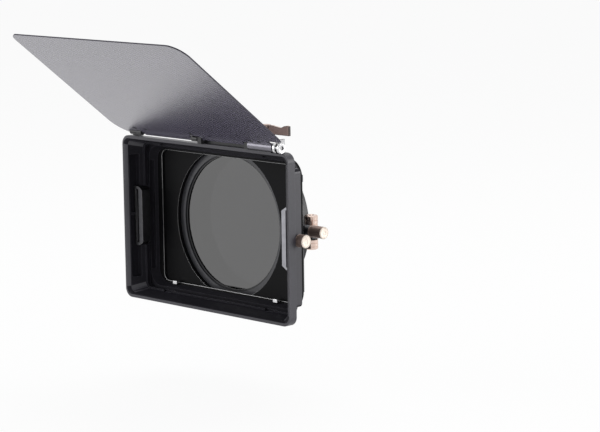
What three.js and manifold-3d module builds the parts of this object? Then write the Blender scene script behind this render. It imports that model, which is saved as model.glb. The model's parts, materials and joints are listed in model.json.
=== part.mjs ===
// Matte box with a top flag, side flag brackets, a slide-out round filter and a split lens clamp.
// Millimetres. The lens axis is Y, the hood opens towards -Y, the lens clamp is at the +Y end,
// Z is up. The origin is on the lens axis at the rear face of the lens clamp ring.

import * as THREE from "three";
import { mergeVertices } from "three/addons/utils/BufferGeometryUtils.js";
import Module from "manifold-3d";

const wasm = await Module();
wasm.setup();

// Clearances and overruns
const clearance = 0.3;
const overrun = 1;
const weld = 0.0001;

// Smoothness of the curves, in counts
const cornerSteps = 5;
const smallSides = 16;
const screwSides = 10;
const socketSides = 6;
const knobSides = 20;
const ringSides = 64;

// Depths along the lens axis, from the clamp ring forwards
const clampLength = 15.4;
const coverThickness = 2;
const trayThickness = 6.2;
const plateThickness = 3.2;
const pocketDepth = 2;
const hoodDepth = 21.25;
const flangeDepth = 6.2;

// Hood outside: the lip flange, the body behind it and the bosses on its sides
const lipHalfWidth = 85.275;
const lipHalfHeight = 59.25;
const lipRadius = 6.5;
const bodyFrontHalfWidth = 80;
const bodyFrontHalfHeight = 57.2;
const bodyFrontRadius = 7;
const bodyMidHalfWidth = 77.4;
const bodyMidHalfHeight = 55;
const bodyMidRadius = 6;
const bodyMidSetback = 8.05;
const rimHalfWidth = 74.2;
const rimHalfHeight = 52.1;
const rimRadius = 12.5;
const rimWebThickness = 0.8;
const bossRise = 4.9;
const bossHalfWidth = bodyMidHalfWidth + bossRise;
const bossHalfHeight = 47.6;
const bossDepth = 8.35;
const bossChamfer = 3;

// Hood inside: a chamfered mouth, a funnel, a thin rib frame, a groove and a channel that narrows
// to the plate
const lipWall = 2.95;
const mouthSideWall = 1.15;
const mouthTopWall = 2.1;
const mouthDepth = 1.6;
const mouthRadius = 5.2;
const lipInnerHalfWidth = lipHalfWidth - lipWall - clearance;
const lipInnerHalfHeight = lipHalfHeight - lipWall;
const lipInnerRadius = 4.5;
const funnelEndHalfWidth = 76.2;
const funnelEndHalfHeight = 53.7;
const ribSetback = 11.55;
const ribDepth = 2.8;
const ribHalfWidth = 74.5;
const ribHalfHeight = 52.6;
const ribRadius = 4;
const grooveDepth = 1.1;
const grooveWidening = 1;
const channelFrontHalfWidth = 74.3;
const channelFrontHalfHeight = 51.2;
const channelRearHalfWidth = 71.6;
const channelRearHalfHeight = 49.3;
const channelRadius = 9.5;

// Recesses, slots and notches inside the hood
const recessHalfWidth = 81.2;
const recessHalfHeight = 45;
const recessTaper = 1.2;
const recessSetback = 2.25;
const recessDepth = 6.8;
const dividerZ = 1.6;
const dividerThickness = 1.4;
const slotHalfWidth = 74.4;
const slotHalfHeight = 40;
const slotSetback = 15.55;
const slotDepth = 3.5;
const notchInnerX = 48.5;
const notchWidth = 8.5;
const notchSetback = 10.6;
const notchDepth = 2.9;
const notchFloor = 54.4;

// Opening frame behind the hood and the clips that hold it
const frameThickness = 1.7;
const frameHalfWidth = 72.4;
const frameHalfHeight = 49.9;
const frameRadius = 10.4;
const frameSideBorder = 5.5;
const openingHalfWidth = frameHalfWidth - frameSideBorder;
const openingHalfHeight = 47.85;
const openingRadius = 5;
const clipX = 52;
const clipWidth = 4.2;
const clipHeight = 2.3;
const clipDepth = 3.3;

// Filter housing, its cover and their screws
const housingLeft = 66;
const housingRight = 60;
const housingHalfHeight = 54.3;
const housingRadius = 32;
const plateOpeningRadius = 53.4;
const plateOpeningHalfHeight = 49.6;
const trayHalfHeight = 51;
const trayLeft = 62;
const trayRadius = 30;
const coverScrewX = 30;
const coverScrewRadius = 0.9;
const coverScrewHeadRadius = 1.4;
const coverScrewHeadHeight = 1.2;
const coverScrewReach = 6;

// Filter tray: bore for the rotor, end grip and the bearing lug of the drive shaft
const gripRight = 65.8;
const gripInset = 5;
const gripTop = 40;
const gripBottom = 42;
const gripRecessTop = 32.5;
const gripRecessBottom = 12.5;
const gripRecessDepth = 1;
const gripNotchHeight = 2.5;
const gripNotchDepth = 3.4;
const trayLipThickness = 0.7;
const trayLipRadius = 49;
const trayBoreRadius = 50.1;
const lugHalfHeight = 3.3;
const lugReach = 5.8;
const lugInner = 54.5;

// Filter rotor with face teeth, its glass and the rings that hold them
const rotorRadius = 49.8;
const rotorInnerRadius = 48.6;
const rotorLipRadius = 47.6;
const rotorLipThickness = 0.6;
const gearPitchRadius = 49.2;
const gearTeeth = 96;
const gearToothShare = 0.37;
const gearAddendum = 0.7;
const gearDedendum = 1.1;
const glassRadius = 48.3;
const glassThickness = 1.6;
const retainerInnerRadius = 46.6;
const retainerThickness = 1.5;
const snapRadius = 50;
const snapInnerRadius = 48.9;
const snapThickness = 0.8;
const snapGrooveRadius = 50.3;
const snapGapHalfHeight = 6.5;

// Filter drive: a pinion on a shaft across the tray, turned by a knurled knob
const pinionTeeth = 8;
const pinionTipRadius = 4.7;
const pinionRootRadius = 3;
const pinionTipHalfWidth = 0.3;
const pinionRootHalfWidth = 0.75;
const pinionWidth = 2.1;
const driveZ = 1;
const driveShaftRadius = 1.5;
const driveBushRadius = 2.8;
const driveKnobLeft = 71;
const driveKnobLength = 12.8;
const driveKnobRadius = 4.25;
const driveKnobSocket = 4;

// Lens clamp: a split ring with two ears, a barrel screw and a barrel nut
const clampRadius = 53.4;
const clampBoreRadius = 47.5;
const splitZ = -2.7;
const splitHalfWidth = 0.8;
const earHeight = 2.8;
const earRight = 65.6;
const earRearInset = 1;
const earDepth = 8.4;
const clampScrewX = 60.4;
const clampBarrelRadius = 4.75;
const clampBarrelTop = 10;
const clampBarrelBottom = -14;
const clampScrewRadius = 2;
const barrelChamfer = 0.7;
const ringScrewAngles = [Math.PI, Math.PI * 2 / 3, Math.PI * 4 / 3];
const ringScrewRadius = 1.2;
const ringScrewHeadRadius = 2.1;
const ringScrewHeadHeight = 2.2;
const ringScrewSink = 2.6;

// Side flag brackets inside the hood, with a slot closed at both ends, a clamp plate and a thumbscrew
const bracketSetback = 5.95;
const bracketInner = 72;
const bracketBarThickness = 4;
const flagSlotWidth = 1.5;
const clampPlateThickness = 1;
const bracketOuterWall = 2.1;
const bracketDepth = 7.3;
const bracketWebThickness = 1.3;
const bracketHalfHeight = 21.5;
const bracketTaper = 2.5;
const thumbZ = -1;
const thumbSetback = 11;
const thumbBushRadius = 4;
const thumbBushThickness = 0.8;
const thumbNeckRadius = 2.4;
const thumbShankRadius = 1.5;
const thumbKnobRadius = 4.5;
const thumbKnobLength = 7.3;
const knobChamfer = 0.6;

// Top flag hinge: axis place, fixed base, lug, pins and tension bolt
const hingeForward = 0.43;
const hingeRise = 3.35;
const hingeBlockLeft = -2.7;
const hingeBlockRight = 48.5;
const hingeBossWidth = 4;
const hingeBlockFront = 1.4;
const hingeBlockTop = 2.4;
const hingeBlockChamfer = 0.8;
const hingeRibThickness = 1;
const hingeRibDrop = 0.3;
const footFront = 3.33;
const footRear = 9.98;
const footThickness = 1.95;
const footMargin = 1;
const earLeft = 76.5;
const earThickness = 1.7;
const earFront = 1.2;
const earRear = 4.7;
const earTop = 5.9;
const hingeEarRight = earLeft + earThickness;
const baseScrewXs = [5, 36];
const baseScrewRadius = 1.2;
const baseScrewHeadRadius = 2.1;
const baseScrewHeadHeight = 1.2;
const lugLeft = -74;
const lugWidth = 5.7;
const lugRear = 6;
const knuckleRadius = 2;
const knuckleWidth = 6;
const pinRadius = 1;
const pinTipRadius = 0.7;
const pinOverhang = 0.6;
const centrePinReach = 3.4;
const boltRadius = 1.5;
const boltReach = 3.4;
const boltHeadRadius = 3.8;
const boltHeadThickness = 1.7;
const boltSocketRadius = 1.6;
const boltSocketDepth = 1;
const collarRadius = 3.8;

// Top flag: tilt, panel, barrel with its wing, knuckles and screws
const flagTilt = 37.69 * Math.PI / 180;
const flagHalfWidth = 86.6;
const flagTail = 3;
const flagCentreTail = 0.8;
const flagFar = 122.8;
const flagThickness = 1;
const flagOffset = -0.1;
const flagNearRadius = 17;
const flagFarRightRadius = 13;
const flagFarLeftRadius = 6.5;
const barrelRadius = 3;
const barrelLeft = 49;
const barrelRight = 68.8;
const washerThickness = 1;
const washerRadius = 2.9;
const wingThickness = 1.2;
const wingReach = 7.5;
const wingInset = 3;
const knuckleWingWidth = 18;
const earNotch = 8.1;
const flagScrewPlace = 5.9;
const flagScrewHeadRadius = 1.3;
const flagScrewRadius = 0.7;
const flagScrewHeadHeight = 0.4;

// Lock lever above the hinge base
const leverX = 57;
const leverSetback = 6.98;
const leverRight = 80.5;
const leverBottom = 7.8;
const leverTop = 14.9;
const leverThickness = 2;
const leverDip = 2.1;
const leverDipCentre = 73.6;
const leverDipHalfWidth = 5;
const leverHubRadius = 4;
const leverHubDrop = 1.4;
const leverStemRadius = 2;
const leverEndDropShare = 0.25;
const leverDipPointShares = [[-1, 0], [-0.6, -0.25], [-0.3, -0.8], [0, -1], [0.3, -0.8], [0.6, -0.35],
  [1, -0.1]];

// Stations along the lens axis, worked out from the stack
const clampFrontY = -clampLength;
const coverRearY = clampFrontY - clearance;
const coverFrontY = coverRearY - coverThickness;
const trayRearY = coverFrontY - clearance;
const trayFrontY = trayRearY - trayThickness;
const plateRearY = trayFrontY - clearance;
const plateFrontY = plateRearY - plateThickness;
const pocketFrontY = plateFrontY - pocketDepth;
const hoodRearY = pocketFrontY - clearance;
const lipY = hoodRearY - hoodDepth;
const flangeRearY = lipY + flangeDepth;
const bodyMidY = flangeRearY + bodyMidSetback;
const ribFrontY = lipY + ribSetback;
const ribRearY = ribFrontY + ribDepth;
const channelFrontY = ribRearY + grooveDepth;
const rotorFrontY = trayFrontY + trayLipThickness + clearance;
const snapFrontY = trayRearY - snapThickness;
const gearTipY = snapFrontY - clearance;
const gearPitchY = gearTipY - gearAddendum;
const gearRootY = gearPitchY - gearDedendum;
const gearPitch = 2 * Math.PI * gearPitchRadius / gearTeeth;
const pinionPitchRadius = gearPitchRadius * pinionTeeth / gearTeeth;
const driveY = gearPitchY + pinionPitchRadius;
const pinionLeft = rotorInnerRadius;
const pinionRight = pinionLeft + pinionWidth;
const pinionSlotHalfHeight = pinionTipRadius + 2 * clearance;
const hingeY = lipY - hingeForward;
const hingeZ = lipHalfHeight + hingeRise;
const footBottom = lipHalfHeight + clearance;
const footTop = footBottom + footThickness;
const bracketFrontY = lipY + bracketSetback;
const bracketRearY = bracketFrontY + bracketDepth;
const thumbY = lipY + thumbSetback;
const flagSlotInner = bracketInner + bracketBarThickness;
const clampPlateInner = flagSlotInner + flagSlotWidth;
const clampPlateOuter = clampPlateInner + clampPlateThickness;
const bracketWallInner = clampPlateOuter + clearance;
const bracketOuter = bracketWallInner + bracketOuterWall;
const ringScrewPitch = (clampRadius + clampBoreRadius) / 2;
const coverScrewZ = (housingHalfHeight + trayHalfHeight + clearance) / 2;
const earRearY = -earRearInset;
const earFrontY = earRearY - earDepth;
const clampScrewY = (earFrontY + earRearY) / 2;
const earsTop = splitZ + splitHalfWidth + earHeight;
const earsBottom = splitZ - splitHalfWidth - earHeight;

// Solids from three.js geometry, and geometry from solids

function toSolid(geometry) {
  const bare = geometry.clone();
  bare.deleteAttribute("normal");
  bare.deleteAttribute("uv");
  const merged = mergeVertices(bare, weld);
  const vertProperties = Float32Array.from(merged.attributes.position.array);
  const triVerts = Uint32Array.from(merged.index.array);
  return new wasm.Manifold(new wasm.Mesh({ numProp: 3, vertProperties, triVerts }));
}

function toGeometry(solid) {
  const mesh = solid.getMesh();
  const geometry = new THREE.BufferGeometry();
  geometry.setAttribute("position", new THREE.BufferAttribute(Float32Array.from(mesh.vertProperties), 3));
  geometry.setIndex(new THREE.BufferAttribute(Uint32Array.from(mesh.triVerts), 1));
  geometry.computeVertexNormals();
  return geometry;
}

function joined(geometries) {
  return geometries.map(toSolid).reduce((whole, piece) => whole.add(piece));
}

function shaped(bodies, cutters = []) {
  let solid = joined(bodies);
  if (cutters.length > 0) {
    solid = solid.subtract(joined(cutters));
  }
  return toGeometry(solid);
}

// Outlines and simple bodies

function roundedOutline(left, right, bottom, top, radii) {
  const [lowLeft, lowRight, highRight, highLeft] = radii;
  const shape = new THREE.Shape();
  shape.absarc(left + lowLeft, bottom + lowLeft, lowLeft, Math.PI, Math.PI * 3 / 2);
  shape.absarc(right - lowRight, bottom + lowRight, lowRight, Math.PI * 3 / 2, Math.PI * 2);
  shape.absarc(right - highRight, top - highRight, highRight, 0, Math.PI / 2);
  shape.absarc(left + highLeft, top - highLeft, highLeft, Math.PI / 2, Math.PI);
  return shape;
}

function evenOutline(halfWidth, halfHeight, radius) {
  return roundedOutline(-halfWidth, halfWidth, -halfHeight, halfHeight, [radius, radius, radius, radius]);
}

function polygon(points) {
  return new THREE.Shape(points.map(([across, up]) => new THREE.Vector2(across, up)));
}

// The outline lies in X and Z, and the slab runs along Y
function slabAlongY(shape, frontY, rearY) {
  const depth = rearY - frontY;
  const geometry = new THREE.ExtrudeGeometry(shape,
    { depth, bevelEnabled: false, curveSegments: cornerSteps });
  return geometry.rotateX(Math.PI / 2).translate(0, rearY, 0);
}

// The outline lies in Y and Z, and the slab runs along X
function slabAlongX(shape, left, right) {
  const depth = right - left;
  const geometry = new THREE.ExtrudeGeometry(shape,
    { depth, bevelEnabled: false, curveSegments: cornerSteps });
  const alongY = new THREE.Vector3(0, 1, 0);
  const alongZ = new THREE.Vector3(0, 0, 1);
  const alongX = new THREE.Vector3(1, 0, 0);
  return geometry.applyMatrix4(new THREE.Matrix4().makeBasis(alongY, alongZ, alongX)).translate(left, 0, 0);
}

function block(left, right, front, rear, bottom, top) {
  const geometry = new THREE.BoxGeometry(right - left, rear - front, top - bottom);
  return geometry.translate((left + right) / 2, (front + rear) / 2, (bottom + top) / 2);
}

function rodAlongX(radius, left, right, y, z, sides = smallSides) {
  const geometry = new THREE.CylinderGeometry(radius, radius, right - left, sides);
  return geometry.rotateZ(-Math.PI / 2).translate((left + right) / 2, y, z);
}

function rodAlongY(radius, front, rear, x, z, sides = smallSides) {
  const geometry = new THREE.CylinderGeometry(radius, radius, rear - front, sides);
  return geometry.translate(x, (front + rear) / 2, z);
}

function rodAlongZ(radius, bottom, top, x, y, sides = smallSides) {
  const geometry = new THREE.CylinderGeometry(radius, radius, top - bottom, sides);
  return geometry.rotateX(Math.PI / 2).translate(x, y, (bottom + top) / 2);
}

// A turned body: the profile holds radius and place along the axis, the axis is Y
function turned(profile, sides) {
  const points = profile.map(([radius, place]) => new THREE.Vector2(radius, place));
  return new THREE.LatheGeometry(points, sides);
}

function ringAlongY(outer, inner, front, rear, sides = ringSides) {
  return turned([[inner, front], [outer, front], [outer, rear], [inner, rear], [inner, front]], sides);
}

// A knob with chamfered rims, standing on its base and turned so that its axis points along X
function knobAlongX(radius, base, length, y, z, side) {
  const chamfer = knobChamfer;
  const profile = [
    [0, 0],
    [radius - chamfer, 0],
    [radius, chamfer],
    [radius, length - chamfer],
    [radius - chamfer, length],
    [0, length],
  ];
  const geometry = turned(profile, knobSides).rotateZ(-Math.PI / 2);
  if (side < 0) {
    geometry.rotateZ(Math.PI);
  }
  return geometry.translate(side * base, y, z);
}

// A body lofted through rounded rectangles that share one count of points
function lofted(sections) {
  const rings = sections.map(({ halfWidth, halfHeight, radius, y }) => {
    const outline = evenOutline(halfWidth, halfHeight, radius);
    const points = outline.getPoints(cornerSteps);
    return points.slice(0, -1).map((point) => new THREE.Vector3(point.x, y, point.y));
  });
  const count = rings[0].length;
  const positions = rings.flat().flatMap((point) => [point.x, point.y, point.z]);
  const frontCentre = positions.length / 3;
  positions.push(0, sections[0].y, 0, 0, sections.at(-1).y, 0);
  const index = [];
  for (let ring = 0; ring < rings.length - 1; ring += 1) {
    for (let step = 0; step < count; step += 1) {
      const here = ring * count + step;
      const next = ring * count + (step + 1) % count;
      index.push(here, here + count, next, next, here + count, next + count);
    }
  }
  const lastRing = (rings.length - 1) * count;
  for (let step = 0; step < count; step += 1) {
    const next = (step + 1) % count;
    index.push(frontCentre, step, next);
    index.push(frontCentre + 1, lastRing + next, lastRing + step);
  }
  const geometry = new THREE.BufferGeometry();
  geometry.setAttribute("position", new THREE.Float32BufferAttribute(positions, 3));
  geometry.setIndex(index);
  return geometry;
}

// Materials
const blackPlastic = { color: 0x26262a, roughness: 0.55, metalness: 0 };
const blackMetal = { color: 0x1b1b1e, roughness: 0.42, metalness: 0.6 };
const steel = { color: 0xc9c9cc, roughness: 0.22, metalness: 1 };
const greyMetal = { color: 0x9c9ca2, roughness: 0.3, metalness: 1 };
const bronze = { color: 0x6b5048, roughness: 0.35, metalness: 0.9 };
const paleBronze = { color: 0xd9c3b4, roughness: 0.2, metalness: 1 };
const carbon = { color: 0x5a5a60, roughness: 0.38, metalness: 0.2 };
const glass = { color: 0x6c6f74, roughness: 0.05, metalness: 0 };

const matteBox = new THREE.Group();

function place(parent, name, geometry, look) {
  const mesh = new THREE.Mesh(geometry, new THREE.MeshStandardMaterial(look));
  mesh.name = name;
  parent.add(mesh);
  return mesh;
}

// Hood shell

function collarRelief() {
  return rodAlongX(collarRadius + clearance, barrelRight, earLeft, hingeY, hingeZ, knobSides);
}

function hoodOutside() {
  const flange = slabAlongY(evenOutline(lipHalfWidth, lipHalfHeight, lipRadius), lipY, flangeRearY);
  const body = lofted([
    { halfWidth: bodyFrontHalfWidth, halfHeight: bodyFrontHalfHeight, radius: bodyFrontRadius,
      y: flangeRearY - overrun },
    { halfWidth: bodyMidHalfWidth, halfHeight: bodyMidHalfHeight, radius: bodyMidRadius, y: bodyMidY },
    { halfWidth: rimHalfWidth, halfHeight: rimHalfHeight, radius: rimRadius, y: hoodRearY },
  ]);
  const bossOutline = evenOutline(bossHalfWidth, bossHalfHeight, bossChamfer);
  const bosses = slabAlongY(bossOutline, flangeRearY - overrun, flangeRearY + bossDepth);
  return [flange, body, bosses];
}

function hoodInside() {
  const mouthHalfWidth = lipHalfWidth - mouthSideWall;
  const mouthHalfHeight = lipHalfHeight - mouthTopWall;
  const mouthShare = mouthDepth / ribSetback;
  const funnel = lofted([
    { halfWidth: mouthHalfWidth, halfHeight: mouthHalfHeight, radius: mouthRadius, y: lipY - overrun },
    { halfWidth: mouthHalfWidth, halfHeight: mouthHalfHeight, radius: mouthRadius, y: lipY },
    { halfWidth: lipInnerHalfWidth + (funnelEndHalfWidth - lipInnerHalfWidth) * mouthShare,
      halfHeight: lipInnerHalfHeight + (funnelEndHalfHeight - lipInnerHalfHeight) * mouthShare,
      radius: lipInnerRadius, y: lipY + mouthDepth },
    { halfWidth: funnelEndHalfWidth, halfHeight: funnelEndHalfHeight, radius: lipInnerRadius, y: ribFrontY },
  ]);
  const rib = slabAlongY(evenOutline(ribHalfWidth, ribHalfHeight, ribRadius), ribFrontY - weld, ribRearY);
  const groove = slabAlongY(
    evenOutline(ribHalfWidth + grooveWidening, ribHalfHeight + grooveWidening, ribRadius + grooveWidening),
    ribRearY - weld, channelFrontY);
  const channel = lofted([
    { halfWidth: channelFrontHalfWidth, halfHeight: channelFrontHalfHeight, radius: channelRadius,
      y: channelFrontY - weld },
    { halfWidth: channelRearHalfWidth, halfHeight: channelRearHalfHeight, radius: channelRadius,
      y: hoodRearY },
    { halfWidth: channelRearHalfWidth, halfHeight: channelRearHalfHeight, radius: channelRadius,
      y: hoodRearY + overrun },
  ]);
  return [funnel, rib, groove, channel];
}

function hoodRecesses() {
  const recesses = [[-recessHalfHeight, dividerZ - dividerThickness / 2],
    [dividerZ + dividerThickness / 2, recessHalfHeight]].map(([bottom, top]) =>
    slabAlongY(roundedOutline(-recessHalfWidth, recessHalfWidth, bottom, top,
      [recessTaper, recessTaper, recessTaper, recessTaper]),
    lipY + recessSetback, lipY + recessSetback + recessDepth));
  const slot = block(-slotHalfWidth, slotHalfWidth, lipY + slotSetback, lipY + slotSetback + slotDepth,
    -slotHalfHeight, slotHalfHeight);
  const pocketHalfWidth = bracketOuter + clearance;
  const pocketHalfHeight = bracketHalfHeight + clearance;
  const pocket = block(-pocketHalfWidth, pocketHalfWidth,
    bracketFrontY - clearance, bracketRearY + clearance, -pocketHalfHeight, pocketHalfHeight);
  const cutters = [...recesses, slot, pocket];
  for (const side of [-1, 1]) {
    const middle = side * (notchInnerX + notchWidth / 2);
    cutters.push(block(middle - notchWidth / 2, middle + notchWidth / 2,
      lipY + notchSetback, lipY + notchSetback + notchDepth, -notchFloor, notchFloor));
    const [left, right] = [side * (recessHalfWidth - overrun), side * (bossHalfWidth + overrun)]
      .sort((a, b) => a - b);
    cutters.push(rodAlongX(thumbNeckRadius + clearance, left, right, thumbY, thumbZ));
  }
  const boltRelief = rodAlongX(boltHeadRadius + clearance, hingeEarRight, hingeEarRight + boltHeadThickness
    + overrun, hingeY, hingeZ, knobSides);
  cutters.push(boltRelief, collarRelief());
  return cutters;
}

place(matteBox, "hood_shell", shaped(hoodOutside(), [...hoodInside(), ...hoodRecesses()]), blackPlastic);

// Opening frame and its clips

const openingFrame = slabAlongY(evenOutline(frameHalfWidth, frameHalfHeight, frameRadius),
  pocketFrontY, pocketFrontY + frameThickness);
const openingCut = slabAlongY(evenOutline(openingHalfWidth, openingHalfHeight, openingRadius),
  pocketFrontY - overrun, plateFrontY);
place(matteBox, "opening_frame", shaped([openingFrame], [openingCut]), blackMetal);

const clipSeat = channelRearHalfHeight - clearance;
for (const [side, sideWord] of [[-1, "left"], [1, "right"]]) {
  const middle = side * clipX;
  const clip = block(middle - clipWidth / 2, middle + clipWidth / 2, hoodRearY - clipDepth,
    pocketFrontY - clearance, -clipSeat, clipHeight - clipSeat);
  place(matteBox, `frame_clip_${sideWord}`, shaped([clip]), steel);
}

// Filter housing with its slot open to the right

function housingOutline() {
  const radii = [housingRadius, housingRadius, housingRadius, housingRadius];
  return roundedOutline(-housingLeft, housingRight, -housingHalfHeight, housingHalfHeight, radii);
}

const rim = slabAlongY(evenOutline(rimHalfWidth, rimHalfHeight, rimRadius),
  pocketFrontY, plateFrontY + rimWebThickness);
const housingBody = slabAlongY(housingOutline(), plateFrontY, trayRearY);
const framePocket = slabAlongY(
  evenOutline(frameHalfWidth + clearance, frameHalfHeight + clearance, frameRadius + clearance),
  pocketFrontY - overrun, plateFrontY);
const roundOpening = rodAlongY(plateOpeningRadius, plateFrontY - overrun, plateRearY + overrun, 0, 0,
  ringSides);
const plateWindow = toGeometry(toSolid(roundOpening).intersect(toSolid(
  block(-plateOpeningRadius, plateOpeningRadius, pocketFrontY, trayRearY,
    -plateOpeningHalfHeight, plateOpeningHalfHeight))));
const traySlotRadius = trayRadius + clearance;
const traySlotRight = housingRight + trayRadius;
const traySlot = slabAlongY(
  roundedOutline(-trayLeft - clearance, traySlotRight, -trayHalfHeight - clearance,
    trayHalfHeight + clearance,
    [traySlotRadius, overrun, overrun, traySlotRadius]),
  plateRearY, trayRearY + overrun);

function coverScrewPlaces() {
  return [[-coverScrewX, -coverScrewZ], [coverScrewX, -coverScrewZ], [coverScrewX, coverScrewZ],
    [-coverScrewX, coverScrewZ]];
}

const coverScrewHoles = coverScrewPlaces().map(([x, z]) => rodAlongY(coverScrewRadius + clearance,
  trayRearY - coverScrewReach - clearance, coverRearY + overrun, x, z, screwSides));
place(matteBox, "filter_housing",
  shaped([rim, housingBody], [framePocket, plateWindow, traySlot, ...coverScrewHoles]), blackMetal);

// Cover with a notch that lets the drive pinion slide out
const coverPlate = slabAlongY(housingOutline(), coverFrontY, coverRearY);
const coverBore = rodAlongY(clampBoreRadius, coverFrontY - overrun, coverRearY + overrun, 0, 0, ringSides);
const coverNotch = block(pinionLeft - pinionTipRadius, housingRight + overrun, coverFrontY - overrun,
  coverRearY + overrun, driveZ - pinionSlotHalfHeight, driveZ + pinionSlotHalfHeight);

function ringScrewPlaces() {
  return ringScrewAngles.map((angle) =>
    [ringScrewPitch * Math.cos(angle), ringScrewPitch * Math.sin(angle)]);
}

const ringScrewHoles = ringScrewPlaces().map(([x, z]) => rodAlongY(ringScrewRadius + clearance,
  coverFrontY - overrun, overrun, x, z, screwSides));
place(matteBox, "housing_cover", shaped([coverPlate], [coverBore, coverNotch, ...coverScrewHoles,
  ...ringScrewHoles]), blackMetal);

coverScrewPlaces().forEach(([x, z], turn) => {
  const headFrontY = coverRearY + clearance;
  const screw = shaped([
    rodAlongY(coverScrewRadius, trayRearY - coverScrewReach, headFrontY + weld, x, z, screwSides),
    rodAlongY(coverScrewHeadRadius, headFrontY, headFrontY + coverScrewHeadHeight, x, z, screwSides),
  ]);
  place(matteBox, `cover_screw_${turn + 1}`, screw, steel);
});

// Lens clamp ring, split on the right
const clampRing = ringAlongY(clampRadius, clampBoreRadius, clampFrontY, 0);
const clampEars = block(clampBoreRadius + clearance, earRight, earFrontY, earRearY, earsBottom, earsTop);
const boreClear = rodAlongY(clampBoreRadius, clampFrontY - overrun, overrun, 0, 0, ringSides);
const split = block(0, earRight + overrun, clampFrontY - overrun, overrun,
  splitZ - splitHalfWidth, splitZ + splitHalfWidth);
const pinionNotch = block(0, clampRadius + overrun, clampFrontY - overrun,
  driveY + pinionTipRadius + clearance, driveZ - pinionSlotHalfHeight, driveZ + pinionSlotHalfHeight);
const clampScrewHole = rodAlongZ(clampScrewRadius + clearance, earsBottom - overrun, earsTop + overrun,
  clampScrewX, clampScrewY);
const ringScrewSinks = ringScrewPlaces().map(([x, z]) => rodAlongY(ringScrewHeadRadius + clearance,
  -ringScrewSink - clearance, overrun, x, z, smallSides));
place(matteBox, "clamp_ring", shaped([clampRing, clampEars],
  [boreClear, split, pinionNotch, clampScrewHole, ...ringScrewHoles, ...ringScrewSinks]), blackMetal);

ringScrewPlaces().forEach(([x, z], turn) => {
  const screw = shaped([
    rodAlongY(ringScrewRadius, coverFrontY, -ringScrewSink + weld, x, z, screwSides),
    rodAlongY(ringScrewHeadRadius, -ringScrewSink, ringScrewHeadHeight - ringScrewSink, x, z, smallSides),
  ]);
  place(matteBox, `ring_screw_${turn + 1}`, screw, steel);
});

// Clamp screw and nut, both with a barrel-shaped head
function barrel(bottom, top) {
  const radius = clampBarrelRadius;
  const profile = [[0, 0], [radius - barrelChamfer, 0], [radius, barrelChamfer],
    [radius, top - bottom - barrelChamfer], [radius - barrelChamfer, top - bottom], [0, top - bottom]];
  return turned(profile, knobSides).rotateX(Math.PI / 2).translate(clampScrewX, clampScrewY, bottom);
}

const nutTop = earsBottom - clearance;
const screwHeadBottom = earsTop + clearance;
const screwTip = nutTop - (nutTop - clampBarrelBottom) / 2;
const clampNut = shaped([barrel(clampBarrelBottom, nutTop)],
  [rodAlongZ(clampScrewRadius + clearance, screwTip - clearance, nutTop + overrun,
    clampScrewX, clampScrewY)]);
place(matteBox, "clamp_nut", clampNut, paleBronze);
const clampScrew = shaped([barrel(screwHeadBottom, clampBarrelTop),
  rodAlongZ(clampScrewRadius, screwTip, screwHeadBottom + overrun, clampScrewX, clampScrewY)]);
place(matteBox, "clamp_screw", clampScrew, paleBronze);

// Filter tray, which slides out to the right

function filterTray() {
  const radii = [trayRadius, trayRadius, trayRadius, trayRadius];
  const plate = slabAlongY(
    roundedOutline(-trayLeft, gripRight - gripInset, -trayHalfHeight, trayHalfHeight, radii),
    trayFrontY, trayRearY);
  const grip = block(gripRight - gripInset - clearance, gripRight,
    plateFrontY + rimWebThickness + clearance, trayRearY, -gripBottom, gripTop);
  const lug = block(lugInner, gripRight, trayRearY - overrun, trayRearY + lugReach,
    driveZ - lugHalfHeight, driveZ + lugHalfHeight);
  const bore = rodAlongY(trayBoreRadius, trayFrontY + trayLipThickness, trayRearY + overrun, 0, 0,
    ringSides);
  const window = rodAlongY(trayLipRadius, trayFrontY - overrun, trayRearY, 0, 0, ringSides);
  const snapGroove = rodAlongY(snapGrooveRadius, snapFrontY - weld, trayRearY + overrun, 0, 0, ringSides);
  const recess = block(gripRight - gripRecessDepth, gripRight + overrun, plateFrontY, trayRearY + overrun,
    -gripRecessBottom, gripRecessTop);
  const notch = block(gripRight - gripNotchDepth, gripRight + overrun, plateFrontY, trayRearY + overrun,
    gripRecessTop - weld, gripRecessTop + gripNotchHeight);
  const pinionSlot = block(gearPitchRadius, lugInner - clearance, gearRootY, trayRearY + overrun,
    driveZ - pinionSlotHalfHeight, driveZ + pinionSlotHalfHeight);
  const shaftHole = rodAlongX(driveShaftRadius + clearance, lugInner - overrun, gripRight + overrun,
    driveY, driveZ);
  return shaped([plate, grip, lug], [bore, window, snapGroove, recess, notch, pinionSlot, shaftHole]);
}

place(matteBox, "filter_tray", filterTray(), blackPlastic);

const snapRing = ringAlongY(snapRadius, snapInnerRadius, snapFrontY, trayRearY);
const snapGap = block(0, snapRadius + overrun, snapFrontY - overrun, trayRearY + overrun,
  driveZ - snapGapHalfHeight, driveZ + snapGapHalfHeight);
place(matteBox, "snap_ring", shaped([snapRing], [snapGap]), steel);

// Filter rotor: face teeth around its rear rim

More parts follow.
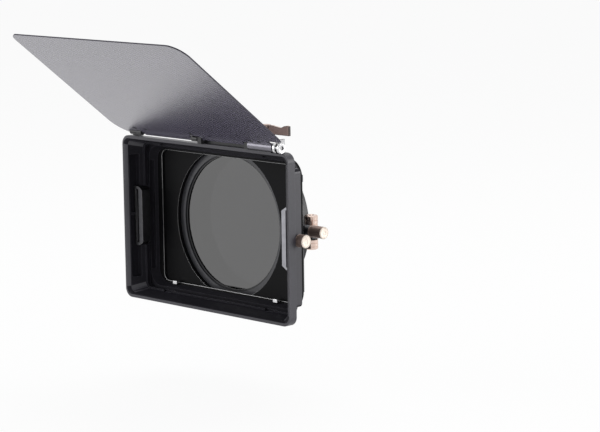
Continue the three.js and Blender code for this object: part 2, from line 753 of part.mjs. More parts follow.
function filterRotor() {
  const lipRearY = rotorFrontY + rotorLipThickness;
  const profile = [[rotorLipRadius, rotorFrontY], [rotorRadius, rotorFrontY], [rotorRadius, gearTipY],
    [rotorInnerRadius, gearTipY], [rotorInnerRadius, lipRearY], [rotorLipRadius, lipRearY],
    [rotorLipRadius, rotorFrontY]];
  const gapHalfWidth = gearPitch * (1 - gearToothShare) / 2;
  const firstGap = -Math.asin(driveZ / gearPitchRadius);
  const gaps = [];
  for (let tooth = 0; tooth < gearTeeth; tooth += 1) {
    const gap = block(rotorInnerRadius - overrun, rotorRadius + overrun, gearRootY, gearTipY + overrun,
      -gapHalfWidth, gapHalfWidth);
    gaps.push(gap.rotateY(firstGap + tooth * Math.PI * 2 / gearTeeth));
  }
  return shaped([turned(profile, ringSides)], gaps);
}

place(matteBox, "filter_rotor", filterRotor(), blackMetal);

const glassFrontY = rotorFrontY + rotorLipThickness + clearance;
const glassRearY = glassFrontY + glassThickness;
const filterGlass = rodAlongY(glassRadius, glassFrontY, glassRearY, 0, 0, ringSides);
place(matteBox, "filter_glass", shaped([filterGlass]), glass);
const retainerFrontY = glassRearY + clearance;
const retainer = ringAlongY(glassRadius, retainerInnerRadius, retainerFrontY,
  retainerFrontY + retainerThickness);
place(matteBox, "retaining_ring", shaped([retainer]), blackMetal);

// Filter drive

function pinionOutline() {
  const points = [];
  for (let tooth = 0; tooth < pinionTeeth; tooth += 1) {
    const middle = tooth * Math.PI * 2 / pinionTeeth;
    const rootTurn = Math.asin(pinionRootHalfWidth / pinionRootRadius);
    const tipTurn = Math.asin(pinionTipHalfWidth / pinionTipRadius);
    points.push([pinionRootRadius, middle - rootTurn], [pinionTipRadius, middle - tipTurn],
      [pinionTipRadius, middle + tipTurn], [pinionRootRadius, middle + rootTurn]);
  }
  return polygon(points.map(([radius, angle]) => [driveY + radius * Math.cos(angle),
    driveZ + radius * Math.sin(angle)]));
}

const driveShaft = shaped([
  slabAlongX(pinionOutline(), pinionLeft, pinionRight),
  rodAlongX(driveShaftRadius, pinionRight - overrun, driveKnobLeft + driveKnobSocket - clearance,
    driveY, driveZ),
]);
place(matteBox, "drive_shaft", driveShaft, steel);
const driveBush = shaped(
  [rodAlongX(driveBushRadius, gripRight + clearance, driveKnobLeft - clearance, driveY, driveZ)],
  [rodAlongX(driveShaftRadius + clearance, gripRight, driveKnobLeft, driveY, driveZ)]);
place(matteBox, "drive_bush", driveBush, blackMetal);
const driveKnob = shaped(
  [knobAlongX(driveKnobRadius, driveKnobLeft, driveKnobLength, driveY, driveZ, 1)],
  [rodAlongX(driveShaftRadius + clearance, driveKnobLeft - overrun, driveKnobLeft + driveKnobSocket,
    driveY, driveZ)]);
place(matteBox, "drive_knob", driveKnob, bronze);

// Side flag brackets, clamp plates and thumbscrews

function bracketOutline() {
  const wallRear = bracketRearY;
  const webFront = bracketRearY - bracketWebThickness;
  return [[bracketInner, flagSlotInner, bracketFrontY, wallRear],
    [bracketWallInner, bracketOuter, bracketFrontY, wallRear],
    [bracketInner, bracketOuter, webFront, wallRear]];
}

function sideBlock(side, inner, outer, front, rear, bottom, top) {
  const [left, right] = side > 0 ? [inner, outer] : [-outer, -inner];
  return block(left, right, front, rear, bottom, top);
}

function sideRod(side, radius, inner, outer, sides = smallSides) {
  const [left, right] = side > 0 ? [inner, outer] : [-outer, -inner];
  return rodAlongX(radius, left, right, thumbY, thumbZ, sides);
}

function bracket(side) {
  const walls = bracketOutline().map(([inner, outer, front, rear]) =>
    sideBlock(side, inner, outer, front, rear, -bracketHalfHeight, bracketHalfHeight));
  const closerInner = bracketHalfHeight - bracketTaper + 2 * clearance;
  const closers = [[-bracketHalfHeight, -closerInner], [closerInner, bracketHalfHeight]].map(
    ([bottom, top]) =>
      sideBlock(side, bracketInner, bracketOuter, bracketFrontY, bracketRearY, bottom, top));
  const endCuts = [-1, 1].map((rise) => {
    const straight = rise * bracketHalfHeight;
    const drawnIn = rise * (bracketHalfHeight - bracketTaper);
    const beyond = rise * (bracketHalfHeight + overrun);
    const outline = [[side * (bracketInner - overrun), drawnIn], [side * bracketInner, drawnIn],
      [side * flagSlotInner, straight], [side * flagSlotInner, beyond],
      [side * (bracketInner - overrun), beyond]];
    return slabAlongY(polygon(outline), bracketFrontY - overrun, bracketRearY + overrun);
  });
  const screwHole = sideRod(side, thumbNeckRadius + clearance, clampPlateOuter, bracketOuter + overrun);
  return shaped([...walls, ...closers], [...endCuts, screwHole]);
}

for (const [side, word] of [[-1, "left"], [1, "right"]]) {
  place(matteBox, `flag_bracket_${word}`, bracket(side), blackMetal);
  const plateHalfHeight = bracketHalfHeight - bracketTaper;
  const plate = sideBlock(side, clampPlateInner, clampPlateOuter, bracketFrontY,
    bracketRearY - bracketWebThickness - clearance, -plateHalfHeight, plateHalfHeight);
  place(matteBox, `clamp_plate_${word}`, shaped([plate]), blackMetal);
  const bushInner = bossHalfWidth + clearance;
  const bushOuter = bushInner + thumbBushThickness;
  const bush = shaped(
    [sideRod(side, thumbBushRadius, bushInner, bushOuter), sideRod(side, thumbNeckRadius, bracketWallInner,
      bushInner + overrun)],
    [sideRod(side, thumbShankRadius + clearance, clampPlateInner, bushOuter + overrun)]);
  place(matteBox, `screw_bush_${word}`, bush, blackMetal);
  const knobBase = bushOuter + clearance;
  const screw = shaped([knobAlongX(thumbKnobRadius, knobBase, thumbKnobLength, thumbY, thumbZ, side),
    sideRod(side, thumbShankRadius, clampPlateOuter + clearance, knobBase + overrun)]);
  place(matteBox, `thumbscrew_${word}`, screw, bronze);
}

// Hinge base on the hood: two bosses, a rib, the foot with its neck and the ear in one piece
const hingeBossRight = hingeBlockLeft + hingeBossWidth;
const hingeBossLeft = hingeBlockRight - hingeBossWidth;

function hingeBase() {
  const front = hingeY - hingeBlockFront;
  const top = hingeZ + hingeBlockTop;
  const bossOutline = polygon([
    [front, footBottom],
    [hingeY + footFront + overrun, footBottom],
    [hingeY + footFront + overrun, top],
    [front + hingeBlockChamfer, top],
    [front, top - hingeBlockChamfer],
  ]);
  const bosses = [[hingeBlockLeft, hingeBossRight], [hingeBossLeft, hingeBlockRight]].map(([left, right]) =>
    slabAlongX(bossOutline, left, right));
  const rib = block(hingeBlockLeft, hingeBlockRight, hingeY + footFront,
    hingeY + footFront + hingeRibThickness, footBottom, hingeZ - hingeRibDrop);
  const foot = block(hingeBlockLeft, leverX + leverHubRadius + footMargin, hingeY + footFront,
    hingeY + footRear, footBottom, footTop);
  const footNeck = block(leverX, hingeEarRight, hingeY + footFront, hingeY + earRear,
    footBottom, footTop);
  const ear = block(earLeft, hingeEarRight, hingeY - earFront, hingeY + earRear,
    footBottom, hingeZ + earTop);
  const boltHole = rodAlongX(boltRadius + clearance, hingeBlockRight, hingeEarRight + overrun,
    hingeY, hingeZ);
  const pinHoles = [[hingeBlockRight - boltReach, hingeBlockRight + overrun],
    [hingeBlockLeft - overrun, hingeBlockLeft + centrePinReach]].map(([left, right]) =>
    rodAlongX(pinTipRadius + clearance, left, right, hingeY, hingeZ));
  const screwHoles = baseScrewXs.map((x) => rodAlongZ(baseScrewRadius + clearance, footBottom - overrun,
    footTop + overrun, x, hingeY + (footFront + footRear) / 2, screwSides));
  return shaped([...bosses, rib, foot, footNeck, ear],
    [boltHole, ...pinHoles, collarRelief(), ...screwHoles]);
}

place(matteBox, "hinge_base", hingeBase(), blackMetal);

const baseScrewY = hingeY + (footFront + footRear) / 2;
baseScrewXs.forEach((x, turn) => {
  const headBottom = footTop + clearance;
  const screw = shaped([
    rodAlongZ(baseScrewRadius, footBottom, headBottom + weld, x, baseScrewY, screwSides),
    rodAlongZ(baseScrewHeadRadius, headBottom, headBottom + baseScrewHeadHeight, x, baseScrewY, smallSides),
  ]);
  place(matteBox, `base_screw_${turn + 1}`, screw, steel);
});

// Left lug, which carries the far end of the flag
const lugRight = lugLeft + lugWidth;
const lugBody = [rodAlongX(knuckleRadius, lugLeft, lugRight, hingeY, hingeZ),
  block(lugLeft, lugRight, hingeY + pinRadius, hingeY + lugRear, footBottom, hingeZ + knuckleRadius)];
const lugHole = rodAlongX(pinRadius + clearance, lugLeft - overrun, lugRight + overrun, hingeY, hingeZ);
place(matteBox, "left_lug", shaped(lugBody, [lugHole]), blackMetal);

const leftKnuckleLeft = lugRight + clearance;
const leftKnuckleRight = leftKnuckleLeft + knuckleWidth;
const centreKnuckleRight = hingeBlockLeft - clearance;
const centreKnuckleLeft = centreKnuckleRight - knuckleWidth;
const leftPin = rodAlongX(pinRadius, lugLeft - pinOverhang, leftKnuckleRight + pinOverhang, hingeY, hingeZ);
place(matteBox, "left_pin", shaped([leftPin]), steel);
const centrePin = shaped([
  rodAlongX(pinRadius, centreKnuckleLeft - pinOverhang, centreKnuckleRight, hingeY, hingeZ),
  rodAlongX(pinTipRadius, centreKnuckleLeft, hingeBlockLeft + centrePinReach - clearance, hingeY, hingeZ),
]);
place(matteBox, "centre_pin", centrePin, steel);

// Tension bolt and collar at the ear
const boltHeadLeft = hingeEarRight + clearance;
const boltHeadRight = boltHeadLeft + boltHeadThickness;
const tensionBolt = shaped(
  [rodAlongX(boltRadius, hingeBlockRight + clearance, boltHeadLeft + weld, hingeY, hingeZ),
    rodAlongX(pinTipRadius, hingeBlockRight - boltReach + clearance, barrelLeft, hingeY, hingeZ),
    rodAlongX(boltHeadRadius, boltHeadLeft, boltHeadRight, hingeY, hingeZ, knobSides)],
  [rodAlongX(boltSocketRadius, boltHeadRight - boltSocketDepth, boltHeadRight + overrun, hingeY, hingeZ,
    socketSides)]);
place(matteBox, "tension_bolt", tensionBolt, steel);
const washerLeft = barrelRight + clearance;
const washerRight = washerLeft + washerThickness;
const tensionWasher = shaped([rodAlongX(washerRadius, washerLeft, washerRight, hingeY, hingeZ)],
  [rodAlongX(boltRadius + clearance, barrelRight, washerRight + overrun, hingeY, hingeZ)]);
place(matteBox, "tension_washer", tensionWasher, blackPlastic);
const collar = shaped(
  [rodAlongX(collarRadius, washerRight + clearance, earLeft - clearance, hingeY, hingeZ, knobSides)],
  [rodAlongX(boltRadius + clearance, washerRight, earLeft, hingeY, hingeZ)]);
place(matteBox, "tension_collar", collar, steel);

// Top flag, built flat around the hinge axis and tilted up as a group.
// In the group, X is the hinge axis, Y runs back towards the hinge and Z is the flag's upper side.

const flagGroup = new THREE.Group();
flagGroup.position.set(0, hingeY, hingeZ);
flagGroup.rotation.x = -flagTilt;
matteBox.add(flagGroup);

const flagTop = flagOffset + flagThickness;
const wingBottom = flagTop + clearance;
const wingTop = wingBottom + wingThickness;
const knuckleWingRight = leftKnuckleLeft + knuckleWingWidth;
const barrelWingLeft = barrelLeft + wingInset;
const barrelWingRight = barrelRight - wingInset;
const flagScrewXs = [leftKnuckleLeft + wingInset, knuckleWingRight - wingInset,
  (centreKnuckleLeft + centreKnuckleRight) / 2, barrelWingLeft + wingInset, barrelWingRight - wingInset];

function flagPanel() {
  const outline = roundedOutline(-flagHalfWidth, flagHalfWidth, -flagTail, flagFar,
    [flagNearRadius, flagNearRadius, flagFarRightRadius, flagFarLeftRadius]);
  const plate = new THREE.ExtrudeGeometry(outline,
    { depth: flagThickness, bevelEnabled: false, curveSegments: 2 * cornerSteps });
  plate.rotateX(Math.PI).translate(0, 0, flagTop);
  const bossNotch = Math.hypot(hingeBlockFront, hingeZ - footBottom) + clearance;
  const knuckleNotch = knuckleRadius + clearance;
  const barrelNotch = barrelRadius + clearance;
  const notches = [
    [lugLeft - pinOverhang - clearance, leftKnuckleRight + pinOverhang + clearance, knuckleNotch],
    [centreKnuckleLeft - pinOverhang - clearance, hingeBossRight + clearance, bossNotch],
    [hingeBossRight, hingeBossLeft, -flagCentreTail],
    [hingeBossLeft - clearance, hingeBlockRight + clearance, bossNotch],
    [hingeBlockRight, flagHalfWidth + overrun, barrelNotch],
    [washerLeft - clearance, flagHalfWidth + overrun, earNotch],
  ].map(([left, right, reach]) =>
    block(left, right, -reach, flagTail + overrun, flagOffset - overrun, flagTop + overrun));
  const holes = flagScrewXs.flatMap((x) => [
    rodAlongZ(flagScrewRadius + clearance, flagOffset - overrun, flagTop + overrun, x, -flagScrewPlace,
      screwSides),
    rodAlongZ(flagScrewHeadRadius + clearance, flagOffset - overrun,
      flagOffset + flagScrewHeadHeight + clearance,
      x, -flagScrewPlace, smallSides),
  ]);
  return shaped([plate], [...notches, ...holes]);
}

place(flagGroup, "flag_panel", flagPanel(), carbon);

const wingHoles = flagScrewXs.map((x) => rodAlongZ(flagScrewRadius + clearance, flagTop,
  wingTop + overrun, x, -flagScrewPlace, screwSides));

function hingeLeaf(radius, left, right, wingLeft, wingRight, boreRadius) {
  return shaped(
    [rodAlongX(radius, left, right, 0, 0, knobSides), block(wingLeft, wingRight, -wingReach, 0,
      wingBottom, wingTop)],
    [rodAlongX(boreRadius, left - overrun, right + overrun, 0, 0), ...wingHoles]);
}

const leftKnuckle = hingeLeaf(knuckleRadius, leftKnuckleLeft, leftKnuckleRight, leftKnuckleLeft,
  knuckleWingRight, pinRadius + clearance);
place(flagGroup, "left_knuckle", leftKnuckle, blackMetal);
const centreKnuckle = hingeLeaf(knuckleRadius, centreKnuckleLeft, centreKnuckleRight, centreKnuckleLeft,
  centreKnuckleRight, pinRadius + clearance);
place(flagGroup, "centre_knuckle", centreKnuckle, blackMetal);
const flagBarrel = hingeLeaf(barrelRadius, barrelLeft, barrelRight, barrelWingLeft, barrelWingRight,
  boltRadius + clearance);
place(flagGroup, "flag_barrel", flagBarrel, greyMetal);

flagScrewXs.forEach((x, turn) => {
  const headTop = flagOffset + flagScrewHeadHeight;
  const screw = shaped([
    rodAlongZ(flagScrewRadius, headTop - weld, wingTop, x, -flagScrewPlace, screwSides),
    rodAlongZ(flagScrewHeadRadius, flagOffset, headTop, x, -flagScrewPlace, smallSides),
  ]);
  place(flagGroup, `flag_screw_${turn + 1}`, screw, steel);
});

// Lock lever: a flat thumb plate on a hub, turning on a stem that stands on the hinge base
const leverY = hingeY + leverSetback;
const leverBottomZ = hingeZ + leverBottom;
const leverTopZ = hingeZ + leverTop;

function leverOutline() {
  const dip = leverDipPointShares.map(([across, down]) =>
    [leverDipCentre + across * leverDipHalfWidth, leverTopZ + down * leverDip]);
  return polygon([[leverX, leverBottomZ], [leverRight, leverBottomZ],
    [leverRight, leverTopZ - leverDip * leverEndDropShare], ...dip.reverse(), [leverX, leverTopZ]]);
}

const lever = shaped(
  [slabAlongY(leverOutline(), leverY - leverThickness / 2, leverY + leverThickness / 2),
    rodAlongZ(leverHubRadius, leverBottomZ - leverHubDrop, leverTopZ, leverX, leverY)],
  [rodAlongZ(leverStemRadius + clearance, footTop, leverTopZ - leverHubDrop, leverX, leverY)]);
place(matteBox, "lock_lever", lever, bronze);
const leverStem = shaped([rodAlongZ(leverStemRadius, footTop + clearance,
  leverTopZ - leverHubDrop - clearance, leverX, leverY)]);
place(matteBox, "lever_stem", leverStem, steel);

export default matteBox;
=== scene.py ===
import json
import math
from collections import namedtuple

import bpy
from bpy.props import FloatProperty, FloatVectorProperty, PointerProperty
from mathutils import Matrix, Vector


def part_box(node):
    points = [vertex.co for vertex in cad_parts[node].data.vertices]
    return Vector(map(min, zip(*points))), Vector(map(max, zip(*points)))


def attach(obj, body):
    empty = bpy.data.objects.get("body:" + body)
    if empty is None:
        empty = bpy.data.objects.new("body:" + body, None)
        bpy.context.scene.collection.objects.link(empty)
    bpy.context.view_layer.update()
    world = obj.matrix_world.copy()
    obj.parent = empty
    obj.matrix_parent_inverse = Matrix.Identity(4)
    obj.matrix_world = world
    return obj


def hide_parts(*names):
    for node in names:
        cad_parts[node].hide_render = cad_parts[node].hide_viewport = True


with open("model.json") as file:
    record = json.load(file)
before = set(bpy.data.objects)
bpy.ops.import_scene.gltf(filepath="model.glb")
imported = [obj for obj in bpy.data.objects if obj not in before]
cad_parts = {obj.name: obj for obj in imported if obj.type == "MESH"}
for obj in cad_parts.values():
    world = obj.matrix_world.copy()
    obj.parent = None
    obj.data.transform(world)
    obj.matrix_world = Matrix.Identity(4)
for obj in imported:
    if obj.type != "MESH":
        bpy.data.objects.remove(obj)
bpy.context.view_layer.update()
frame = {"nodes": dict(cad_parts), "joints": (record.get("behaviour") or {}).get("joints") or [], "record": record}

bl_info = {
    "name": "Matte Box Finisher",
    "version": (1, 0, 0),
    "blender": (4, 5, 0),
    "location": "3D View > Sidebar > Matte Box",
    "description": "Finishes a packed matte box with detailed pieces, materials and a studio",
    "category": "Object",
}

MM = 0.001
CLOSE = 0.01 * MM
MERGE_DISTANCE = 0.002 * MM
FLAT_ANGLE = math.radians(0.4)
EDGE_ANGLE = math.radians(40)
KNOB_ANGLE = math.radians(24)
TURN_SIDES = 48
SCREW_SIDES = 24
AXES = {"X": Vector((1, 0, 0)), "Y": Vector((0, 1, 0)), "Z": Vector((0, 0, 1))}
AXIS_TURNS = {"X": (0, math.pi / 2, 0), "Y": (-math.pi / 2, 0, 0), "Z": (0, 0, 0)}
TILT_JOINT = next(j for j in frame["joints"] if j["name"] == "flag_tilt")
HINGE = Vector(TILT_JOINT["pos_m"])
FLAG_TILT = math.radians(37.69)

# Axes of the render's viewpoint
CAMERA_RIGHT = Vector((0.70568, 0.70841, -0.01333))
CAMERA_BACK = Vector((0.70107, -0.69539, 0.15790))

# Grain of a black surface: noise scale and depth
MOULDED_GRAIN = (2400.0, 3e-5)
ANODISED_GRAIN = (4200.0, 1.5e-5)

# Proportions of a screw: its tip to its shank, its chamfer to its head, its socket's depth to
# its head's height, and its socket's widened mouth to the socket
TIP_RADIUS_SHARE, TIP_LENGTH_SHARE = 0.8, 0.3
HEAD_CHAMFER_SHARE = 0.11
SOCKET_DEPTH_SHARE = 0.55
SOCKET_MOUTH_SHARE = 0.12

ScrewKind = namedtuple("ScrewKind", "head_height shank_radius socket_radius")
COVER_SCREW = ScrewKind(1.2 * MM, 0.9 * MM, 0.75 * MM)
RING_SCREW = ScrewKind(2.2 * MM, 1.2 * MM, 1.1 * MM)
BASE_SCREW = ScrewKind(1.2 * MM, 1.2 * MM, 1.05 * MM)
LEAF_SCREW = ScrewKind(0.4 * MM, 0.7 * MM, 0.6 * MM)
HINGE_BOLT = ScrewKind(1.7 * MM, 1.45 * MM, 1.7 * MM)


# Hand tools: selecting, merging, edging and turning

def pick_nothing():
    """Leaves nothing selected, in object mode."""
    if bpy.context.mode != "OBJECT":
        bpy.ops.object.mode_set(mode="OBJECT")
    bpy.ops.object.select_all(action="DESELECT")


def pick_only(obj):
    """Leaves obj as the only selected object, in object mode."""
    pick_nothing()
    obj.select_set(True)
    bpy.context.view_layer.objects.active = obj


def apply_modifier(obj, kind, **settings):
    """Adds one modifier with its settings and applies it."""
    pick_only(obj)
    bpy.ops.object.modifier_add(type=kind)
    modifier = obj.modifiers[-1]
    for key, value in settings.items():
        setattr(modifier, key, value)
    bpy.ops.object.modifier_apply(modifier=modifier.name)


def select_elements(obj, kind, elements, test):
    """Selects, in edit mode, the vertices or polygons of a mesh that pass a test."""
    pick_only(obj)
    bpy.ops.object.mode_set(mode="EDIT")
    bpy.ops.mesh.select_mode(type=kind)
    bpy.ops.mesh.select_all(action="DESELECT")
    bpy.ops.object.mode_set(mode="OBJECT")
    for element in getattr(obj.data, elements):
        element.select = bool(test(element))
    bpy.ops.object.mode_set(mode="EDIT")


def select_vertices(obj, test):
    """Selects, in edit mode, the vertices that pass a test of their place."""
    select_elements(obj, "VERT", "vertices", lambda vertex: test(vertex.co))


def select_faces(obj, test):
    """Selects, in edit mode, the faces that pass a test of their centre and normal."""
    select_elements(obj, "FACE", "polygons", lambda polygon: test(polygon.center, polygon.normal))


def move_vertices(obj, test, shift):
    """Moves the vertices that pass a test of their place."""
    select_vertices(obj, test)
    bpy.ops.transform.translate(value=shift)
    bpy.ops.object.mode_set(mode="OBJECT")


def stretch_vertices(obj, test, factors, centre):
    """Scales the vertices that pass a test of their place, about a centre."""
    select_vertices(obj, test)
    bpy.ops.transform.resize(value=factors, center_override=centre)
    bpy.ops.object.mode_set(mode="OBJECT")


def smooth_shading(obj, angle=EDGE_ANGLE):
    """Smooth shading over gentle edges, with flat faces kept flat."""
    pick_only(obj)
    bpy.ops.object.shade_smooth_by_angle(angle=angle)
    apply_modifier(obj, "WEIGHTED_NORMAL", keep_sharp=True, weight=90)


def rounded_edges(obj, width, edge_slot):
    """Rounds the sharp edges, gives them the finish of edge_slot, then shades the piece."""
    apply_modifier(
        obj, "BEVEL", width=width, segments=2, limit_method="ANGLE",
        angle_limit=EDGE_ANGLE, use_clamp_overlap=True, miter_outer="MITER_ARC",
        material=edge_slot,
    )
    smooth_shading(obj)


def merged_copy(node, name):
    """A closed copy of a CAD node's mesh, with its flat areas made single faces."""
    obj = bpy.data.objects.new(name, frame["nodes"][node].data.copy())
    bpy.context.scene.collection.objects.link(obj)
    obj.data.materials.clear()
    pick_only(obj)
    if obj.data.has_custom_normals:
        bpy.ops.mesh.customdata_custom_splitnormals_clear()
    bpy.ops.object.mode_set(mode="EDIT")
    bpy.ops.mesh.select_mode(type="VERT")
    bpy.ops.mesh.select_all(action="SELECT")
    bpy.ops.mesh.remove_doubles(threshold=MERGE_DISTANCE)
    bpy.ops.mesh.dissolve_limited(angle_limit=FLAT_ANGLE)
    bpy.ops.object.mode_set(mode="OBJECT")
    return obj


def turned(name, axis, centre, profile, sides=TURN_SIDES, hollow=False):
    """A turned piece: a ring of edges is extruded from station to station of its profile.

    profile is a list of (station along the axis, radius) in metres. A hollow piece
    ends where it began, and a solid one is closed by a cap at each end.
    """
    along = AXES[axis]
    across = Vector((1, 1, 1)) - along
    foot = Vector(centre)
    foot -= along * foot.dot(along)
    pick_nothing()
    bpy.ops.mesh.primitive_circle_add(
        vertices=sides, radius=profile[0][1], fill_type="NOTHING",
        location=foot + along * profile[0][0], rotation=AXIS_TURNS[axis],
    )
    obj = bpy.context.active_object
    obj.name = obj.data.name = name
    bpy.ops.object.transform_apply(location=True, rotation=True, scale=True)
    bpy.ops.object.mode_set(mode="EDIT")
    bpy.ops.mesh.select_mode(type="VERT")
    bpy.ops.mesh.select_all(action="SELECT")
    for (station, radius), (next_station, next_radius) in zip(profile, profile[1:]):
        bpy.ops.mesh.extrude_region_move(
            TRANSFORM_OT_translate={"value": along * (next_station - station)}
        )
        ratio = next_radius / radius
        if ratio != 1:
            scale = along + across * ratio
            bpy.ops.transform.resize(
                value=scale, center_override=foot + along * next_station
            )
    if not hollow:
        bpy.ops.mesh.edge_face_add()
        bpy.ops.mesh.select_all(action="DESELECT")
        bpy.ops.object.mode_set(mode="OBJECT")
        for vertex in obj.data.vertices:
            vertex.select = vertex.index < sides
        bpy.ops.object.mode_set(mode="EDIT")
        bpy.ops.mesh.edge_face_add()
    bpy.ops.mesh.select_all(action="SELECT")
    bpy.ops.mesh.remove_doubles(threshold=MERGE_DISTANCE)
    bpy.ops.mesh.normals_make_consistent(inside=False)
    bpy.ops.object.mode_set(mode="OBJECT")
    return obj


def copied_to(obj, name, matrix):
    """A copy of a piece with its own mesh, moved to another place."""
    copied = bpy.data.objects.new(name, obj.data.copy())
    bpy.context.scene.collection.objects.link(copied)
    copied.data.transform(matrix)
    return copied


def around(vertex, axis, foot):
    """A point's station along an axis, its distance from it and its angle round it."""
    along = AXES[axis]
    offset = vertex - foot
    flat = offset - along * offset.dot(along)
    first, second = {"X": (flat.y, flat.z), "Y": (flat.z, flat.x), "Z": (flat.x, flat.y)}[axis]
    return vertex.dot(along), flat.length, math.atan2(second, first)


def scale_across(obj, axis, foot, factor, test):
    """Scales the vertices that pass a test towards or away from an axis."""
    factors = AXES[axis] + (Vector((1, 1, 1)) - AXES[axis]) * factor
    stretch_vertices(obj, lambda place: test(*around(place, axis, foot)), factors, foot)


def knurled(obj, axis, foot, start, rows, pitch, columns, sink):
    """Presses a diamond knurl into the rings of a turned piece."""
    reach = 0.1
    def in_row(station, distance, angle):
        row = (station - start) / pitch
        column = round(angle / (2 * math.pi / columns))
        near = abs(row - round(row)) < reach and 0 <= round(row) < rows
        return near and (round(row) + column) % 2 == 0
    scale_across(obj, axis, foot, 1 - sink, in_row)


def hex_socket(obj, axis, foot, radius):
    """Turns a round recess into a six-sided key socket."""
    side, reach = math.pi / 3, 0.05
    for share in (0.25, 0.5, 0.75):
        factor = math.cos(side / 2) / math.cos(side * share - side / 2)
        def on_flat(station, distance, angle):
            turn = (angle % side) / side
            return abs(distance - radius) < 2 * CLOSE and abs(turn - share) < reach
        scale_across(obj, axis, foot, factor, on_flat)


def shank_profile(tip, end, side, radius):
    """The stations of a screw's shank, with a chamfer at its tip."""
    return [(tip, radius * TIP_RADIUS_SHARE), (tip + side * radius * TIP_LENGTH_SHARE, radius),
            (end, radius)]


def key_screw(name, axis, foot, ends, head_radius, kind):
    """A screw with a chamfered head and a key socket; ends are its tip and its head's top."""
    tip, top = ends
    side = 1 if top > tip else -1
    neck = top - side * kind.head_height
    chamfer = HEAD_CHAMFER_SHARE * head_radius
    socket, depth = kind.socket_radius, SOCKET_DEPTH_SHARE * kind.head_height
    mouth = SOCKET_MOUTH_SHARE * socket
    profile = shank_profile(tip, neck, side, kind.shank_radius) + [
        (neck, head_radius - chamfer / 2), (neck + side * chamfer / 2, head_radius),
        (top - side * chamfer, head_radius), (top, head_radius - chamfer),
        (top, socket + mouth), (top - side * mouth, socket), (top - side * depth, socket),
    ]
    obj = turned(name, axis, foot, profile, sides=SCREW_SIDES)
    hex_socket(obj, axis, foot, socket)
    smooth_shading(obj)
    return obj


def finished(obj, body, slot, material, *nodes):
    """Gives a piece its finish, its body, and the CAD nodes that it stands for."""
    if material is not None:
        obj.data.materials.clear()
        obj.data.materials.append(material)
    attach(obj, body)
    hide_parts(*nodes)
    return obj


def body_of(node):
    """The CAD body that a node belongs to."""
    return next(b for b, names in frame["record"]["behaviour"]["bodies"].items() if node in names)


def slot_of(node):
    """The record's material slot of a node."""
    return next(p["material_slot"] for p in frame["record"]["subparts"] if p["node"] == node)


def middle_of(node):
    """The middle of a CAD node's box."""
    low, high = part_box(node)
    return (low + high) / 2


def foot_of(node, axis):
    """Where the axis through the middle of a CAD node's box passes the origin."""
    middle = middle_of(node)
    return middle - AXES[axis] * middle.dot(AXES[axis])


def screw_set(first, name, node, count, body, material, shift):
    """Copies the first screw of a set to the others' places, and finishes them all.

    shift is a function that gives the matrix from the first screw to another node.
    """
    for number in range(2, count + 1):
        other = f"{node}_{number}"
        finished(copied_to(first, f"{name}_{number}", shift(other)), body, "steel", material, other)
    finished(first, body, "steel", material, f"{node}_1")


def assign_finish(obj, slot, test):
    """Gives the faces that pass a test the finish of a material slot."""
    select_faces(obj, test)
    obj.active_material_index = slot
    bpy.ops.object.material_slot_assign()
    bpy.ops.object.mode_set(mode="OBJECT")


def dressed(node, name, material, edge, rubbed=None, change=None):
    """A CAD node's own shape with its finish, and rounded edges that may take a finish of their own; the lighter
    edge finishes paint a highlight along the edges.

    change is a function that alters the copy before its edges are rounded.
    """
    obj = merged_copy(node, name)
    obj.data.materials.append(material)
    if rubbed is not None:
        obj.data.materials.append(rubbed)
    if change is not None:
        change(obj)
    rounded_edges(obj, edge, edge_slot=-1 if rubbed is None else 1)
    return finished(obj, body_of(node), slot_of(node), None, node)


# Wiring of materials

class Wiring:
    """A node tree under construction, with short ways to add and join its nodes."""

    def __init__(self, tree):
        self.tree = tree
        self.tree.nodes.clear()

    def node(self, kind, **settings):
        made = self.tree.nodes.new(kind)
        for key, value in settings.items():
            setattr(made, key, value)
        return made

    def join(self, source, target):
        self.tree.links.new(source, target)

    def feed(self, made, inputs):
        for key, value in inputs.items():
            socket = made.inputs[key]
            if isinstance(value, bpy.types.NodeSocket):
                self.join(value, socket)
            else:
                socket.default_value = value
        return made

    def maths(self, operation, first, second=0.0, third=0.0):
        made = self.node("ShaderNodeMath", operation=operation)
        self.feed(made, {0: first, 1: second, 2: third})
        return made.outputs[0]

    def mixed(self, share, first, second):
        """The first shader where share is nothing, and the second where it is one."""
        return self.feed(self.node("ShaderNodeMixShader"), {0: share, 1: first, 2: second}).outputs[0]

    def seen_share(self):
        """One for rays that show the background: camera, glossy and transmission rays."""
        rays = self.node("ShaderNodeLightPath").outputs
        mirrored = self.maths("MAXIMUM", rays["Is Glossy Ray"], rays["Is Transmission Ray"])
        return self.maths("MAXIMUM", rays["Is Camera Ray"], mirrored)


